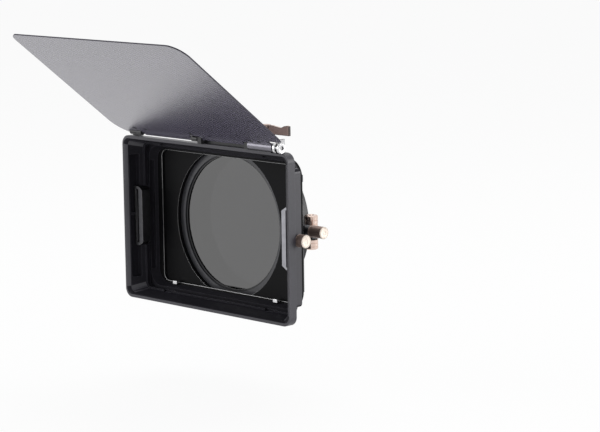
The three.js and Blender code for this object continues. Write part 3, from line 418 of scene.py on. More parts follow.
class Finish(Wiring):
    """One material under construction, whose patterns lie in the piece's own space."""

    def __init__(self, name):
        self.material = bpy.data.materials.new(name)
        self.material.use_nodes = True
        super().__init__(self.material.node_tree)
        self.output = self.node("ShaderNodeOutputMaterial")
        self.shader = self.node("ShaderNodeBsdfPrincipled")
        self.join(self.shader.outputs["BSDF"], self.output.inputs["Surface"])
        self.place = self.node("ShaderNodeTexCoord").outputs["Object"]

    def mapped(self, scale, turn=(0, 0, 0)):
        made = self.node("ShaderNodeMapping")
        self.feed(made, {"Vector": self.place, "Rotation": turn, "Scale": scale})
        return made.outputs["Vector"]

    def noise(self, scale, detail, vector=None):
        made = self.node("ShaderNodeTexNoise")
        self.feed(made, {"Vector": vector or self.place, "Scale": scale, "Detail": detail})
        return made.outputs["Fac"]

    def ranged(self, value, low, high, from_low=0.3, from_high=0.7):
        made = self.node("ShaderNodeMapRange")
        self.feed(made, {"Value": value, "From Min": from_low, "From Max": from_high,
                         "To Min": low, "To Max": high})
        return made.outputs["Result"]

    def blended(self, share, first, second):
        made = self.node("ShaderNodeMix", data_type="RGBA")
        self.feed(made, {0: share, 6: first, 7: second})
        return made.outputs[2]

    def chosen(self, share, first, second):
        """The first value where share is one, and the second where it is nothing."""
        return self.maths("MULTIPLY_ADD", share, self.maths("SUBTRACT", first, second), second)

    def bump(self, height, distance, strength, under=None):
        made = self.node("ShaderNodeBump")
        self.feed(made, {"Height": height, "Distance": distance, "Strength": strength})
        if under is not None:
            self.join(under, made.inputs["Normal"])
        return made.outputs["Normal"]

    def edge_share(self, radius):
        """Near one along the piece's edges, and nothing on its flats."""
        eased = self.feed(self.node("ShaderNodeBevel", samples=6), {"Radius": radius})
        true = self.node("ShaderNodeNewGeometry")
        facing = self.node("ShaderNodeVectorMath", operation="DOT_PRODUCT")
        self.feed(facing, {0: eased.outputs[0], 1: true.outputs["Normal"]})
        return self.ranged(facing.outputs["Value"], 1.0, 0.0, from_low=0.9, from_high=0.995)


def shade(colour, factor):
    """A colour made lighter or darker, with full alpha."""
    return tuple(min(1.0, c * factor) for c in colour[:3]) + (1.0,)


def black_finish(name, colour, roughness, specular, edge_tone, grain=MOULDED_GRAIN):
    """Black moulding or anodising: fine grain, slow changes of tone, and lighter edges that are partly worn and
    partly a painted highlight.
    """
    f = Finish(name)
    grain_scale, grain_depth = grain
    cloud = f.noise(scale=38.0, detail=4.0)
    speck = f.noise(scale=420.0, detail=2.0)
    tone = f.maths("MULTIPLY_ADD", speck, 0.35, f.maths("MULTIPLY", cloud, 0.65))
    body = f.blended(f.ranged(tone, 0.0, 1.0), shade(colour, 0.82), shade(colour, 1.25))
    # Edges lightened by edge_tone and broken into patches by noise: wear together with a painted highlight along
    # the edges
    wear = f.ranged(f.noise(scale=90.0, detail=3.0), 0.45, 1.0)
    rubbed = f.maths("MULTIPLY", f.edge_share(0.45 * MM), wear)
    f.feed(f.shader, {
        "Base Color": f.blended(rubbed, body, shade(colour, edge_tone)),
        "Roughness": f.ranged(tone, roughness - 0.05, roughness + 0.06),
        "Normal": f.bump(f.noise(scale=grain_scale, detail=2.0), distance=grain_depth, strength=0.6),
        "Specular IOR Level": specular,
    })
    return f.material


def turned_metal_finish(name, colour, roughness, axis, metallic=1.0):
    """Metal from a lathe: fine marks round the axis over slow changes of gloss."""
    f = Finish(name)
    stretch = [9000.0 if letter == axis else 160.0 for letter in "XYZ"]
    marks = f.noise(scale=1.0, detail=2.0, vector=f.mapped(stretch))
    cloud = f.noise(scale=240.0, detail=3.0)
    f.feed(f.shader, {
        "Base Color": f.blended(f.ranged(cloud, 0.0, 1.0), shade(colour, 0.9), shade(colour, 1.08)),
        "Metallic": metallic,
        "Roughness": f.ranged(marks, roughness - 0.04, roughness + 0.07),
        "Normal": f.bump(marks, distance=4e-6, strength=0.5),
    })
    return f.material


def twill_finish(name, colour, cell, tilt):
    """Carbon twill under a satin coat: two by two weave, fibres, slow changes of tone, and a painted sheen on the
    crown of each tow.
    """
    f = Finish(name)
    turn, fine, coarse = (tilt, 0, 0), 9000.0, 300.0
    split = f.feed(f.node("ShaderNodeSeparateXYZ"), {0: f.mapped([1 / cell] * 3, turn)})
    cells = split.outputs["X"], split.outputs["Y"]
    diagonal = f.maths("SUBTRACT", *(f.maths("FLOOR", place) for place in cells))
    warp = f.maths("LESS_THAN", f.maths("FLOORED_MODULO", diagonal, 4.0), 1.5)
    crown = f.chosen(warp, *(f.maths("SINE", f.maths("MULTIPLY", f.maths("FRACT", place), math.pi))
                             for place in cells))
    fibre = f.chosen(warp, *(f.noise(scale=1.0, detail=1.0, vector=f.mapped(stretch, turn))
                             for stretch in ((fine, coarse, coarse), (coarse, fine, coarse))))
    cloud = f.noise(scale=30.0, detail=3.0)
    # Warp tows lighter than weft tows as the twill pattern, and each tow lighter at its crown than at its sides: a
    # painted sheen
    weave = f.blended(f.maths("MULTIPLY_ADD", crown, 0.45, f.maths("MULTIPLY", warp, 0.55)),
                      shade(colour, 0.1), shade(colour, 2.9))
    f.feed(f.shader, {
        "Base Color": f.blended(f.ranged(cloud, 0.0, 0.25), weave, shade(colour, 1.2)),
        "Roughness": f.ranged(fibre, 0.22, 0.27),
        "Normal": f.bump(crown, distance=6e-5, strength=0.6,
                         under=f.bump(fibre, distance=3e-6, strength=0.3)),
        "Coat Weight": 1.0,
        "Coat IOR": 1.56,
        "Coat Roughness": 0.2,
        "Coat Normal": f.bump(crown, distance=3e-5, strength=0.5),
    })
    return f.material


def glass_finish(name, colour):
    """Neutral grey coated filter glass, with a faint unevenness of polish."""
    f = Finish(name)
    cloud = f.noise(scale=25.0, detail=2.0)
    f.feed(f.shader, {
        "Base Color": f.blended(f.ranged(cloud, 0.0, 1.0), shade(colour, 0.95), shade(colour, 1.05)),
        "Roughness": f.ranged(f.noise(scale=60.0, detail=2.0), 0.02, 0.05),
        "Transmission Weight": 1.0,
        "IOR": 2.1,
    })
    return f.material


# Settings of the add-on

def colour_setting(name, description, default):
    return FloatVectorProperty(name=name, description=description, subtype="COLOR",
                               size=3, min=0.0, max=1.0, default=default)


def length_setting(name, description, default, shortest=0.0):
    return FloatProperty(name=name, description=description, unit="LENGTH",
                         min=shortest, default=default)


class MatteBoxColours(bpy.types.PropertyGroup):
    """Colours of the matte box's finishes."""

    plastic: colour_setting("Hood plastic", "Matt black moulding", (0.038, 0.0365, 0.0455))
    anodised: colour_setting("Black metal", "Satin black anodised parts", (0.016, 0.016, 0.018))
    # Far lighter than the anodised black: painted light on the side brackets
    satin_black: colour_setting("Satin black metal", "Brackets that catch the light",
                                (0.13, 0.13, 0.14))
    steel: colour_setting("Steel", "Bright screws, clips and collar", (0.66, 0.66, 0.67))
    hinge_grey: colour_setting("Hinge grey", "Clear anodised hinge barrel", (0.19, 0.185, 0.21))
    bronze: colour_setting("Bronze", "Knurled knobs and lock lever", (0.29, 0.21, 0.18))
    pale_bronze: colour_setting("Pale bronze", "Polished clamp screw and nut", (0.72, 0.57, 0.50))
    # Much lighter than the knob bronze: the polish of the end faces together with a painted highlight
    polished_end: colour_setting("Knob ends", "Polished end faces of the knobs", (0.70, 0.62, 0.55))
    carbon: colour_setting("Carbon", "Woven top flag", (0.062, 0.056, 0.082))
    glass: colour_setting("Filter glass", "Neutral grey filter", (0.012, 0.012, 0.013))


class MatteBoxSizes(bpy.types.PropertyGroup):
    """Sizes of the detail that is added to the CAD shapes."""

    hood_edge: length_setting("Hood edge", "Rounding of the moulded hood's edges", 0.35 * MM)
    metal_edge: length_setting("Metal edge", "Rounding of machined edges", 0.2 * MM)
    frame_edge: length_setting("Frame edge", "Rounding of the edges inside the hood", 0.35 * MM)
    barrel_growth: length_setting(
        "Barrel growth", "How much longer the hinge barrel is than in the CAD", 3.8 * MM)
    twill_cell: length_setting(
        "Twill cell", "Width of one tow of the flag's weave", 1.25 * MM, shortest=0.1 * MM)


class MatteBoxStudio(bpy.types.PropertyGroup):
    """Camera, floor and lamps."""

    camera_place: FloatVectorProperty(
        name="Camera place", description="Where the camera stands", subtype="TRANSLATION",
        size=3, unit="LENGTH", default=(1.146778, -1.093616, 0.255206))
    lens: FloatProperty(
        name="Focal length", description="Lens of the camera, in millimetres",
        min=1.0, default=134.63)
    floor_drop: FloatProperty(
        name="Floor below axis", description="How far the floor lies below the lens axis",
        unit="LENGTH", default=0.115)
    floor_colour: colour_setting("Floor colour", "Pale floor", (0.9, 0.9, 0.9))
    lamp_power: FloatProperty(
        name="Lamp power", description="Power of the largest soft lamp",
        min=0.0, default=9.0)


def colours():
    return bpy.context.scene.matte_box_colours


def sizes():
    return bpy.context.scene.matte_box_sizes


def shared(name, make, *inputs, **look):
    """A material that is made on its first use."""
    return bpy.data.materials.get(name) or make(name, *inputs, **look)


def outer_plastic():
    return shared("hood_outer_finish", black_finish, colours().plastic,
                  roughness=0.42, specular=0.5, edge_tone=2.2)


# Hood plastic darkened to 0.45 with little specular for the faces inside the mouth: painted shade inside the hood
def inner_plastic_painted_shade():
    return shared("hood_inner_finish", black_finish, shade(colours().plastic, 0.45),
                  roughness=0.55, specular=0.06, edge_tone=4.0)


# Hood plastic lightened 2.2 times for its rounded edges: painted highlight along the hood's edges
def plastic_edge_highlight():
    return shared("plastic_edge_finish", black_finish, shade(colours().plastic, 2.2),
                  roughness=0.4, specular=0.5, edge_tone=1.5)


def anodised():
    return shared("black_metal_finish", black_finish, colours().anodised,
                  roughness=0.38, specular=0.4, edge_tone=2.5, grain=ANODISED_GRAIN)


# Anodised black darkened to 0.3 with little specular: painted shade on the opening frame and the filter housing
# deep inside the hood. It is also the friction washer's black and the finish of the hinge block's bevels
def deep_black_and_painted_shade():
    return shared("inner_black_finish", black_finish, shade(colours().anodised, 0.3),
                  roughness=0.5, specular=0.08, edge_tone=5.0, grain=ANODISED_GRAIN)


# Anodised black lightened 3.2 times for the tray: painted light on its front ring, which faces the side lamp
def tray_black_painted_light():
    return shared("tray_black_finish", black_finish, shade(colours().anodised, 3.2),
                  roughness=0.36, specular=0.5, edge_tone=1.6, grain=ANODISED_GRAIN)


def carbon_edge():
    return shared("carbon_edge_finish", black_finish, shade(colours().carbon, 0.6),
                  roughness=0.5, specular=0.3, edge_tone=1.3)


# Knob bronze darkened to 0.16 for the lever's bevels and its end towards +X: painted shade on faces that the side
# lamp lights
def lever_edge_painted_shade():
    return shared("lever_edge_finish", black_finish, shade(colours().bronze, 0.16),
                  roughness=0.45, specular=0.3, edge_tone=1.3)


# Darkened steel: on the bevels of black parts a painted highlight along the edges together with wear; it also
# fills the bolt's key socket and the hinge block's ear
def metal_edge():
    return shared("rubbed_edge_finish", turned_metal_finish, shade(colours().steel, 0.42),
                  roughness=0.36, axis="Z")


# One copy of the bracket black scaled by share: above one it paints light, below one shade
def satin_black(share):
    return shared(f"satin_black_finish_{share}", turned_metal_finish,
                  shade(colours().satin_black, share), roughness=0.42, axis="Z")


def steel(axis="X"):
    return shared(f"steel_finish_{axis}", turned_metal_finish, colours().steel,
                  roughness=0.2, axis=axis)


def hinge_grey():
    return shared("hinge_grey_finish", turned_metal_finish, colours().hinge_grey,
                  roughness=0.36, axis="X")


def bronze():
    return shared("bronze_finish", turned_metal_finish, colours().bronze,
                  roughness=0.42, axis="X", metallic=0.55)


# Knob bronze lightened 1.6 times for the lock lever: painted light on the lever's main face
def lever_bronze_painted_light():
    return shared("lever_bronze_finish", turned_metal_finish, shade(colours().bronze, 1.6),
                  roughness=0.45, axis="Z", metallic=0.4)


def pale_bronze():
    return shared("pale_bronze_finish", turned_metal_finish, colours().pale_bronze,
                  roughness=0.2, axis="Z")


def polished_end():
    return shared("polished_end_finish", turned_metal_finish, colours().polished_end,
                  roughness=0.36, axis="X")


def twill():
    return shared("carbon_twill_finish", twill_finish, colours().carbon,
                  cell=sizes().twill_cell, tilt=FLAG_TILT)


def filter_glass():
    return shared("filter_glass_finish", glass_finish, colours().glass)


# Pieces

class MatteBoxOperator:
    """What every step of the add-on shares."""

    bl_options = {"REGISTER", "UNDO"}

    def execute(self, context):
        self.build()
        return {"FINISHED"}


class MATTEBOX_OT_hood(MatteBoxOperator, bpy.types.Operator):
    """Finish the hood moulding"""

    bl_idname = "mattebox.hood"
    bl_label = "Hood"

    def build(self):
        hood = merged_copy("hood_shell", "moulded_hood")
        for material in (outer_plastic(), inner_plastic_painted_shade(), plastic_edge_highlight()):
            hood.data.materials.append(material)
        # Faces inside the mouth take the darkened plastic of slot 1, painted shade inside the hood
        assign_finish(hood, 1, self.is_inside)
        rounded_edges(hood, sizes().hood_edge, edge_slot=2)
        finished(hood, "hood", "hood_plastic", None, "hood_shell")

    def is_inside(self, centre, normal):
        """Whether a face of the hood lies inside its mouth."""
        front_rim, lip_depth, recess_depth, rear_rim = 0.15 * MM, 6.1 * MM, 14.5 * MM, 0.05 * MM
        lip_inside, body_inside = (83.4 * MM, 57.3 * MM), (76.9 * MM, 54.4 * MM)
        recess_half_width, recess_half_height = 81.9 * MM, 47.4 * MM
        low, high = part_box("hood_shell")
        depth = centre.y - low.y
        if depth < front_rim or high.y - centre.y < rear_rim:
            return False
        half_width, half_height = lip_inside if depth < lip_depth else body_inside
        if depth < recess_depth and abs(centre.z) < recess_half_height:
            half_width = recess_half_width
        return abs(centre.x) < half_width and abs(centre.z) < half_height


class MATTEBOX_OT_opening_frame(MatteBoxOperator, bpy.types.Operator):
    """Finish the opening frame and its two spring clips"""

    bl_idname = "mattebox.opening_frame"
    bl_label = "Opening frame and clips"

    def build(self):
        # The frame takes the darkened black as painted shade; its bevels take the lighter edge steel, a painted
        # highlight with wear
        dressed("opening_frame", "framed_opening", deep_black_and_painted_shade(), sizes().frame_edge, metal_edge())
        for side in ("left", "right"):
            dressed(f"frame_clip_{side}", f"spring_clip_{side}", steel("Z"), sizes().metal_edge)


class MATTEBOX_OT_housing(MatteBoxOperator, bpy.types.Operator):
    """Finish the filter housing, its cover and the four cover screws"""

    bl_idname = "mattebox.housing"
    bl_label = "Filter housing"

    def build(self):
        # The housing takes the darkened black as painted shade; its bevels take the lighter edge steel, a painted
        # highlight with wear
        dressed("filter_housing", "milled_housing", deep_black_and_painted_shade(), sizes().frame_edge, metal_edge())
        dressed("housing_cover", "milled_cover", anodised(), sizes().metal_edge)
        low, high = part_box("cover_screw_1")
        middle = middle_of("cover_screw_1")
        first = key_screw("cover_cap_screw_1", "Y", middle, (low.y, high.y),
                          (high.x - low.x) / 2, COVER_SCREW)
        screw_set(first, "cover_cap_screw", "cover_screw", 4, "hood", steel("Y"),
                  lambda node: Matrix.Translation(middle_of(node) - middle))


class MATTEBOX_OT_lens_clamp(MatteBoxOperator, bpy.types.Operator):
    """Finish the split lens clamp, its screws and barrel nut"""

    bl_idname = "mattebox.lens_clamp"
    bl_label = "Lens clamp"

    def build(self):
        dressed("clamp_ring", "split_clamp", anodised(), sizes().metal_edge)
        self.turn_nut()
        self.turn_screw()
        self.set_ring_screws()

    def barrel_profile(self, bottom, top, radius):
        """An upright barrel with chamfered ends and two fine grooves."""
        chamfer, groove = 0.7 * MM, 0.25 * MM
        profile = [(bottom, radius - chamfer), (bottom + chamfer, radius)]
        for share in (0.3, 0.62):
            station = bottom + (top - bottom) * share
            profile += [(station - groove, radius), (station - groove / 2, radius - groove),
                        (station + groove / 2, radius - groove), (station + groove, radius)]
        return profile + [(top - chamfer, radius), (top, radius - chamfer)]

    def turn_nut(self):
        """The pale bronze barrel nut."""
        low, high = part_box("clamp_nut")
        nut = turned("barrel_nut", "Z", foot_of("clamp_nut", "Z"),
                     self.barrel_profile(low.z, high.z, (high.x - low.x) / 2))
        smooth_shading(nut)
        finished(nut, "hood", "pale_bronze", pale_bronze(), "clamp_nut")

    def turn_screw(self):
        """The pale bronze clamp screw, whose head is a barrel with a key socket."""
        head_height, shank_radius = 8.8 * MM, 1.9 * MM
        socket_radius, socket_mouth, socket_depth = 2.0 * MM, 0.2 * MM, 2.4 * MM
        low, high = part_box("clamp_screw")
        foot = foot_of("clamp_screw", "Z")
        neck, top = high.z - head_height, high.z
        profile = shank_profile(low.z, neck, 1, shank_radius)
        profile += self.barrel_profile(neck, top, (high.x - low.x) / 2)
        profile += [(top, socket_radius + socket_mouth), (top - socket_mouth, socket_radius),
                    (top - socket_depth, socket_radius)]
        screw = turned("barrel_screw", "Z", foot, profile, sides=72)
        hex_socket(screw, "Z", foot, socket_radius)
        smooth_shading(screw)
        finished(screw, body_of("clamp_screw"), "pale_bronze", pale_bronze(), "clamp_screw")

    def set_ring_screws(self):
        """One radial screw is made on the left, and turned round the lens axis for the others."""
        low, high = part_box("ring_screw_1")
        first = key_screw("ring_cap_screw_1", "X", foot_of("ring_screw_1", "X"), (high.x, low.x),
                          (high.z - low.z) / 2, RING_SCREW)
        start = self.angle_of("ring_screw_1")
        screw_set(first, "ring_cap_screw", "ring_screw", 3, "hood", steel("Y"),
                  lambda node: Matrix.Rotation(start - self.angle_of(node), 4, "Y"))

    def angle_of(self, node):
        """The angle of a node's middle round the lens axis."""
        middle = middle_of(node)
        return math.atan2(middle.z, middle.x)


class MATTEBOX_OT_filter_tray(MatteBoxOperator, bpy.types.Operator):
    """Finish the filter tray, the geared rotor, its rings and its glass"""

    bl_idname = "mattebox.filter_tray"
    bl_label = "Filter tray and glass"

    def build(self):
        # The tray takes the lightened black, painted light on its front ring
        dressed("filter_tray", "drawn_tray", tray_black_painted_light(), sizes().metal_edge)
        dressed("snap_ring", "sprung_ring", steel("Y"), sizes().metal_edge)
        dressed("filter_rotor", "geared_rotor", anodised(), sizes().metal_edge)
        dressed("retaining_ring", "threaded_ring", anodised(), sizes().metal_edge)
        low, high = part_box("filter_glass")
        radius, rim = high.x, 0.25 * MM
        disc = turned("neutral_filter", "Y", (0, 0, 0), [
            (low.y, radius - rim), (low.y + rim, radius), (high.y - rim, radius),
            (high.y, radius - rim)], sides=128)
        smooth_shading(disc)
        finished(disc, "rotor", "glass", filter_glass(), "filter_glass")


def knurled_knob(name, foot, side, base, end, radius, shank=()):
    """A knob turned along X: knurled round its side, polished and dished on its end, whose lighter colour is
    partly a painted highlight.
    """
    chamfer, pitch, columns, sink = 0.6 * MM, 0.9 * MM, 32, 0.08
    dish, dish_floor, pit = 0.25 * MM, 0.3 * MM, 0.45 * MM
    rows = int((abs(end - base) - 2.4 * chamfer) / pitch)
    start = base + side * 1.4 * chamfer
    profile = list(shank) + [(base, radius - chamfer), (base + side * chamfer, radius)]
    profile += [(start + side * pitch * row, radius) for row in range(rows)]
    profile += [
        (end - side * chamfer, radius), (end, radius - chamfer), (end, radius - 1.3 * chamfer),
        (end - side * dish, radius - 1.8 * chamfer), (end - side * dish_floor, 0.35 * radius),
        (end - side * pit, 0.3 * radius),
    ]
    knob = turned(name, "X", foot, profile, sides=columns)
    knurled(knob, "X", foot, start, rows, side * pitch, columns, sink)
    knob.data.materials.append(bronze())
    knob.data.materials.append(polished_end())
    limit = side * end - 1.05 * chamfer
    # The end faces take the lighter bronze: polished, with a painted highlight
    assign_finish(knob, 1, lambda centre, normal: side * centre.x > limit)
    smooth_shading(knob, KNOB_ANGLE)
    return knob


class MATTEBOX_OT_filter_drive(MatteBoxOperator, bpy.types.Operator):
    """Finish the drive shaft, its bush and its knurled knob"""

    bl_idname = "mattebox.filter_drive"
    bl_label = "Filter drive"

    def build(self):
        dressed("drive_shaft", "pinion_shaft", steel(), sizes().metal_edge)
        dressed("drive_bush", "shaft_bush", anodised(), sizes().metal_edge)
        low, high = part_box("drive_knob")
        knob = knurled_knob("knurled_drive_knob", foot_of("drive_knob", "X"), 1, low.x, high.x,
                            (high.z - low.z) / 2)
        finished(knob, "drive", "bronze", None, "drive_knob")


class MATTEBOX_OT_side_brackets(MatteBoxOperator, bpy.types.Operator):
    """Finish the side flag brackets, clamp plates, bushes and thumbscrews"""

    bl_idname = "mattebox.side_brackets"
    bl_label = "Side flag brackets"

    def build(self):
        # Shares 0.55 and 2.3: the left bracket is painted in shade, the right one painted lit by the side lamp
        for side, share in (("left", 0.55), ("right", 2.3)):
            dressed(f"flag_bracket_{side}", f"slotted_bracket_{side}", satin_black(share),
                    sizes().metal_edge, metal_edge())
            dressed(f"clamp_plate_{side}", f"gripping_plate_{side}", anodised(), sizes().metal_edge)
            dressed(f"screw_bush_{side}", f"threaded_bush_{side}", anodised(), sizes().metal_edge)
            self.turn_thumbscrew(side)

    def turn_thumbscrew(self, side):
        """A knurled thumbscrew, whose head is on the outside of its bracket."""
        head_length, shank_radius = 7.3 * MM, 1.5 * MM
        node = f"thumbscrew_{side}"
        low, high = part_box(node)
        way, tip, end = (1, low.x, high.x) if side == "right" else (-1, high.x, low.x)
        base = end - way * head_length
        knob = knurled_knob(f"knurled_{node}", foot_of(node, "X"), way, base, end,
                            (high.z - low.z) / 2, shank_profile(tip, base, way, shank_radius))
        finished(knob, f"thumb_{side}", "bronze", None, node)


class MATTEBOX_OT_hinge(MatteBoxOperator, bpy.types.Operator):
    """Finish the fixed side of the flag hinge"""

    bl_idname = "mattebox.hinge"
    bl_label = "Flag hinge"

    def build(self):
        dressed("hinge_base", "hinge_block", anodised(), sizes().metal_edge, deep_black_and_painted_shade(),
                self.brighten_ear)
        for node, name in (("left_lug", "hinge_lug"), ("left_pin", "short_pin"),
                           ("centre_pin", "long_pin")):
            dressed(node, name, anodised(), sizes().metal_edge)
        self.turn_rings()
        self.turn_bolt()
        self.set_base_screws()

    def brighten_ear(self, block):
        """The ear beside the bolt takes the lighter edge steel."""
        ear_width, ear_drop = 1.8 * MM, 1.2 * MM
        inner_side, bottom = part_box("hinge_base")[1].x - ear_width, HINGE.z - ear_drop
        block.data.materials.append(metal_edge())
        assign_finish(block, 2,
                      lambda centre, normal: centre.x > inner_side and centre.z > bottom)

    def turn_rings(self):
        """The black friction washer and the bright collar, both moved for the longer barrel."""
        rim, bore = 0.3 * MM, 1.8 * MM
        growth = sizes().barrel_growth
        for node, name, slot, material, right_shift in (
                ("tension_washer", "friction_washer", "hood_plastic", deep_black_and_painted_shade(), growth),
                ("tension_collar", "bolt_collar", "steel", steel(), 0.0)):
            low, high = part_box(node)
            left, right, radius = low.x + growth, high.x + right_shift, (high.z - low.z) / 2
            ring = turned(name, "X", HINGE, [
                (left, bore), (left, radius - rim), (left + rim, radius),
                (right - rim, radius), (right, radius - rim), (right, bore), (left, bore)],
                hollow=True)
            smooth_shading(ring)
            finished(ring, "hood", slot, material, node)

    def turn_bolt(self):
        """The bolt with its key socket, whose end is thinned to reach into the barrel."""
        thin_radius, barrel_clearance = 0.7 * MM, 0.1 * MM
        socket_mouth, socket_reach = 0.15 * MM, 1.75 * MM
        low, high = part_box("tension_bolt")
        neck, shank = high.x - HINGE_BOLT.head_height, HINGE_BOLT.shank_radius
        bolt = key_screw("socket_bolt", "X", HINGE, (low.x, high.x), (high.z - low.z) / 2, HINGE_BOLT)
        step = low.x + shank * TIP_LENGTH_SHARE
        thin = thin_radius / shank
        stretch_vertices(bolt, lambda place: place.x < step + CLOSE, (1, thin, thin), HINGE)
        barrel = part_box("flag_barrel")[0].x
        move_vertices(bolt, lambda place: abs(place.x - step) < CLOSE,
                      (barrel - barrel_clearance - step, 0, 0))
        bolt.data.materials.append(steel())
        bolt.data.materials.append(metal_edge())
        # The key socket's walls take the darker edge steel: painted shade in the recess
        assign_finish(bolt, 1, lambda centre, normal: neck < centre.x < high.x - socket_mouth
                      and (centre - HINGE).yz.length < socket_reach)
        finished(bolt, "hood", "steel", None, "tension_bolt")

    def set_base_screws(self):
        """Two upright screws that hold the hinge foot on the hood."""
        low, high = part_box("base_screw_1")
        middle = middle_of("base_screw_1")
        first = key_screw("base_cap_screw_1", "Z", middle, (low.z, high.z),
                          (high.x - low.x) / 2, BASE_SCREW)
        screw_set(first, "base_cap_screw", "base_screw", 2, "hood", steel("Z"),
                  lambda node: Matrix.Translation(middle_of(node) - middle))


class MATTEBOX_OT_top_flag(MatteBoxOperator, bpy.types.Operator):
    """Finish the carbon top flag, its hinge leaves and their screws"""

    bl_idname = "mattebox.top_flag"
    bl_label = "Top flag"

    def build(self):
        dressed("flag_panel", "carbon_flag", twill(), sizes().metal_edge, carbon_edge(),
                self.close_notch)
        dressed("left_knuckle", "left_leaf", anodised(), sizes().metal_edge)
        dressed("centre_knuckle", "centre_leaf", anodised(), sizes().metal_edge)
        dressed("flag_barrel", "barrel_leaf", hinge_grey(), sizes().metal_edge,
                change=self.lengthen_barrel)
        self.set_leaf_screws()

    def close_notch(self, panel):
        """Narrows the notch at the collar, and marks the cut edges."""
        notch_clearance, reach = 0.3 * MM, 0.1 * MM
        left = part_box("tension_washer")[0].x - notch_clearance
        move_vertices(panel, lambda place: abs(place.x - left) < reach,
                      (sizes().barrel_growth, 0, 0))
        assign_finish(panel, 1, self.is_cut_edge)

    def is_cut_edge(self, centre, normal):
        """Whether a face of the panel is part of its cut outline."""
        upright = Vector((0, math.sin(FLAG_TILT), math.cos(FLAG_TILT)))
        return abs(normal.dot(upright)) < 0.5

    def lengthen_barrel(self, barrel):
        """Draws the barrel's right end out to the shorter collar."""
        end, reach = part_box("flag_barrel")[1].x, 0.05 * MM
        move_vertices(barrel, lambda place: place.x > end - reach, (sizes().barrel_growth, 0, 0))

    def set_leaf_screws(self):
        """One screw is made square to the level flag, then tilted, and copied along the hinge."""
        forward, tip, top, head_radius = -5.9 * MM, 2.4 * MM, -0.1 * MM, 1.3 * MM
        middle = middle_of("flag_screw_1")
        first = key_screw("leaf_screw_1", "Z", Vector((middle.x, forward, 0)), (tip, top),
                          head_radius, LEAF_SCREW)
        first.data.transform(Matrix.Translation(HINGE) @ Matrix.Rotation(-FLAG_TILT, 4, "X"))
        screw_set(first, "leaf_screw", "flag_screw", 5, "flag", anodised(),
                  lambda node: Matrix.Translation((middle_of(node) - middle).x * AXES["X"]))


class MATTEBOX_OT_lock_lever(MatteBoxOperator, bpy.types.Operator):
    """Finish the lock lever and its stem"""

    bl_idname = "mattebox.lock_lever"
    bl_label = "Lock lever"

    def build(self):
        dressed("lock_lever", "swept_lever", lever_bronze_painted_light(), sizes().metal_edge, lever_edge_painted_shade(),
                self.widen_dip)
        dressed("lever_stem", "lever_post", steel("Z"), sizes().metal_edge)

    def widen_dip(self, lever):
        """Draws the thumb dip out to the left and lowers the plate beside it."""
        dip_start, dip_end, dip_depth, dip_stretch = 1.9 * MM, 11.9 * MM, 2.3 * MM, 1.4
        plate_start, plate_skin, plate_drop, reach = 10.5 * MM, 0.6 * MM, 1.0 * MM, 0.1 * MM
        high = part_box("lock_lever")[1]
        right, left = high.x - dip_start, high.x - dip_end
        stretch_vertices(lever, lambda place: left - reach < place.x < right + reach
                         and place.z > high.z - dip_depth, (dip_stretch, 1, 1), (right, 0, 0))
        move_vertices(lever, lambda place: place.x < right - plate_start
                      and place.z > high.z - plate_skin, (0, 0, -plate_drop))
        # The faces towards +X take the darkened bronze, painted shade on the lever's end
        assign_finish(lever, 1, lambda centre, normal: normal.x > 0.9)


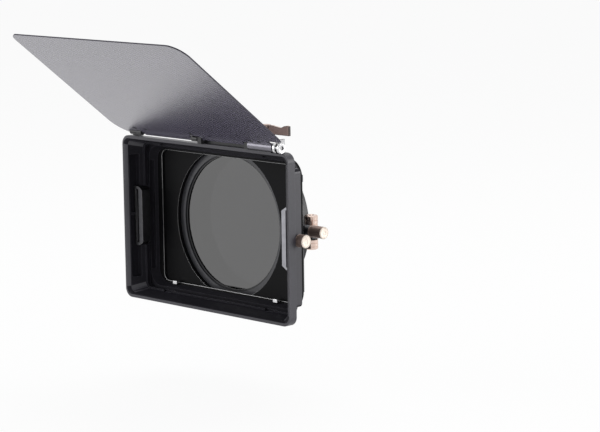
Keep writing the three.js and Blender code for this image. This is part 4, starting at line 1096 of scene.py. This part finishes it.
class MATTEBOX_OT_studio(MatteBoxOperator, bpy.types.Operator):
    """Set up the camera, the pale floor, the soft lamps and the world"""

    bl_idname = "mattebox.studio"
    bl_label = "Studio"

    def build(self):
        scene = bpy.context.scene
        studio = scene.matte_box_studio
        scene.view_settings.view_transform = "Standard"
        pick_nothing()
        self.set_camera(scene, studio)
        self.lay_floor(studio)
        self.set_world(scene)
        self.hang_lamps(studio)

    def set_camera(self, scene, studio):
        """The viewpoint of the render, with its focal length and its axes."""
        bpy.ops.object.camera_add(location=studio.camera_place)
        camera = bpy.context.active_object
        camera.name = "studio_camera"
        camera.data.sensor_fit = "HORIZONTAL"
        camera.data.sensor_width = 36.0
        camera.data.lens = studio.lens
        camera.data.clip_end = 20.0
        right, back = CAMERA_RIGHT.normalized(), CAMERA_BACK.normalized()
        turn = Matrix((right, back.cross(right).normalized(), back)).transposed()
        camera.matrix_world = Matrix.Translation(Vector(studio.camera_place)) @ turn.to_4x4()
        scene.camera = camera

    def lay_floor(self, studio):
        """A wide pale floor that shows white, with the object's shadow on it."""
        bpy.ops.mesh.primitive_plane_add(size=12.0, location=(0, 0, -studio.floor_drop))
        floor = bpy.context.active_object
        floor.name = "studio_floor"
        bpy.ops.object.transform_apply(location=True, rotation=True, scale=True)
        f = Finish("floor_finish")
        mottle = f.noise(scale=6.0, detail=3.0)
        f.feed(f.shader, {
            "Base Color": f.blended(f.ranged(mottle, 0.0, 1.0), shade(studio.floor_colour, 0.99),
                                    shade(studio.floor_colour, 1.01)),
            "Roughness": 0.9,
        })
        glow_share = f.maths("MULTIPLY", f.seen_share(), 0.92)
        glow = f.node("ShaderNodeEmission")
        f.feed(f.output, {"Surface": f.mixed(glow_share, f.shader.outputs["BSDF"], glow.outputs[0])})
        floor.data.materials.append(f.material)

    def set_world(self, scene):
        """A soft grey world that shows white behind the object and in its metal and glass."""
        world = bpy.data.worlds.new("studio_world")
        world.use_nodes = True
        wiring = Wiring(world.node_tree)
        soft, white = (
            wiring.feed(wiring.node("ShaderNodeBackground"), {"Color": colour, "Strength": strength})
            for colour, strength in (((0.97, 0.985, 1.0, 1.0), 0.45), ((1.0, 1.0, 1.0, 1.0), 1.0)))
        mixed = wiring.mixed(wiring.seen_share(), soft.outputs[0], white.outputs[0])
        wiring.feed(wiring.node("ShaderNodeOutputWorld"), {"Surface": mixed})
        scene.world = world

    def hang_lamps(self, studio):
        """Three soft lamps that the camera doesn't see, aimed at the origin."""
        for name, place, size, share in (
                ("top_softbox", (-0.25, 0.25, 1.35), (1.1, 0.9), 1.0),
                ("side_softbox", (1.15, 1.0, 0.3), (0.9, 0.7), 1.1),
                ("front_softbox", (-0.95, -1.15, 0.45), (0.8, 0.8), 0.7)):
            bpy.ops.object.light_add(type="AREA", location=place)
            lamp = bpy.context.active_object
            lamp.name = name
            lamp.data.shape = "RECTANGLE"
            lamp.data.size, lamp.data.size_y = size
            lamp.data.energy = studio.lamp_power * share
            aim = -Vector(place)
            lamp.rotation_euler = aim.to_track_quat("-Z", "Y").to_euler()
            lamp.visible_camera = False


STEPS = (
    MATTEBOX_OT_studio,
    MATTEBOX_OT_hood,
    MATTEBOX_OT_opening_frame,
    MATTEBOX_OT_housing,
    MATTEBOX_OT_lens_clamp,
    MATTEBOX_OT_filter_tray,
    MATTEBOX_OT_filter_drive,
    MATTEBOX_OT_side_brackets,
    MATTEBOX_OT_hinge,
    MATTEBOX_OT_top_flag,
    MATTEBOX_OT_lock_lever,
)


class MATTEBOX_PT_panel(bpy.types.Panel):
    """Lists the steps and the settings in the sidebar"""

    bl_idname = "MATTEBOX_PT_panel"
    bl_label = "Matte Box"
    bl_space_type = "VIEW_3D"
    bl_region_type = "UI"
    bl_category = "Matte Box"

    def draw(self, context):
        layout = self.layout
        for group in (context.scene.matte_box_sizes, context.scene.matte_box_colours,
                      context.scene.matte_box_studio):
            box = layout.box()
            for key in group.__annotations__:
                box.prop(group, key)
        for step in STEPS:
            layout.operator(step.bl_idname)


GROUPS = (
    ("matte_box_colours", MatteBoxColours),
    ("matte_box_sizes", MatteBoxSizes),
    ("matte_box_studio", MatteBoxStudio),
)


def register():
    for name, group in GROUPS:
        bpy.utils.register_class(group)
        setattr(bpy.types.Scene, name, PointerProperty(type=group))
    for step in STEPS:
        bpy.utils.register_class(step)
    bpy.utils.register_class(MATTEBOX_PT_panel)


def unregister():
    bpy.utils.unregister_class(MATTEBOX_PT_panel)
    for step in reversed(STEPS):
        bpy.utils.unregister_class(step)
    for name, group in reversed(GROUPS):
        delattr(bpy.types.Scene, name)
        bpy.utils.unregister_class(group)


def main():
    register()
    for step in STEPS:
        group, action = step.bl_idname.split(".")
        getattr(getattr(bpy.ops, group), action)()


if __name__ == "__main__":
    main()
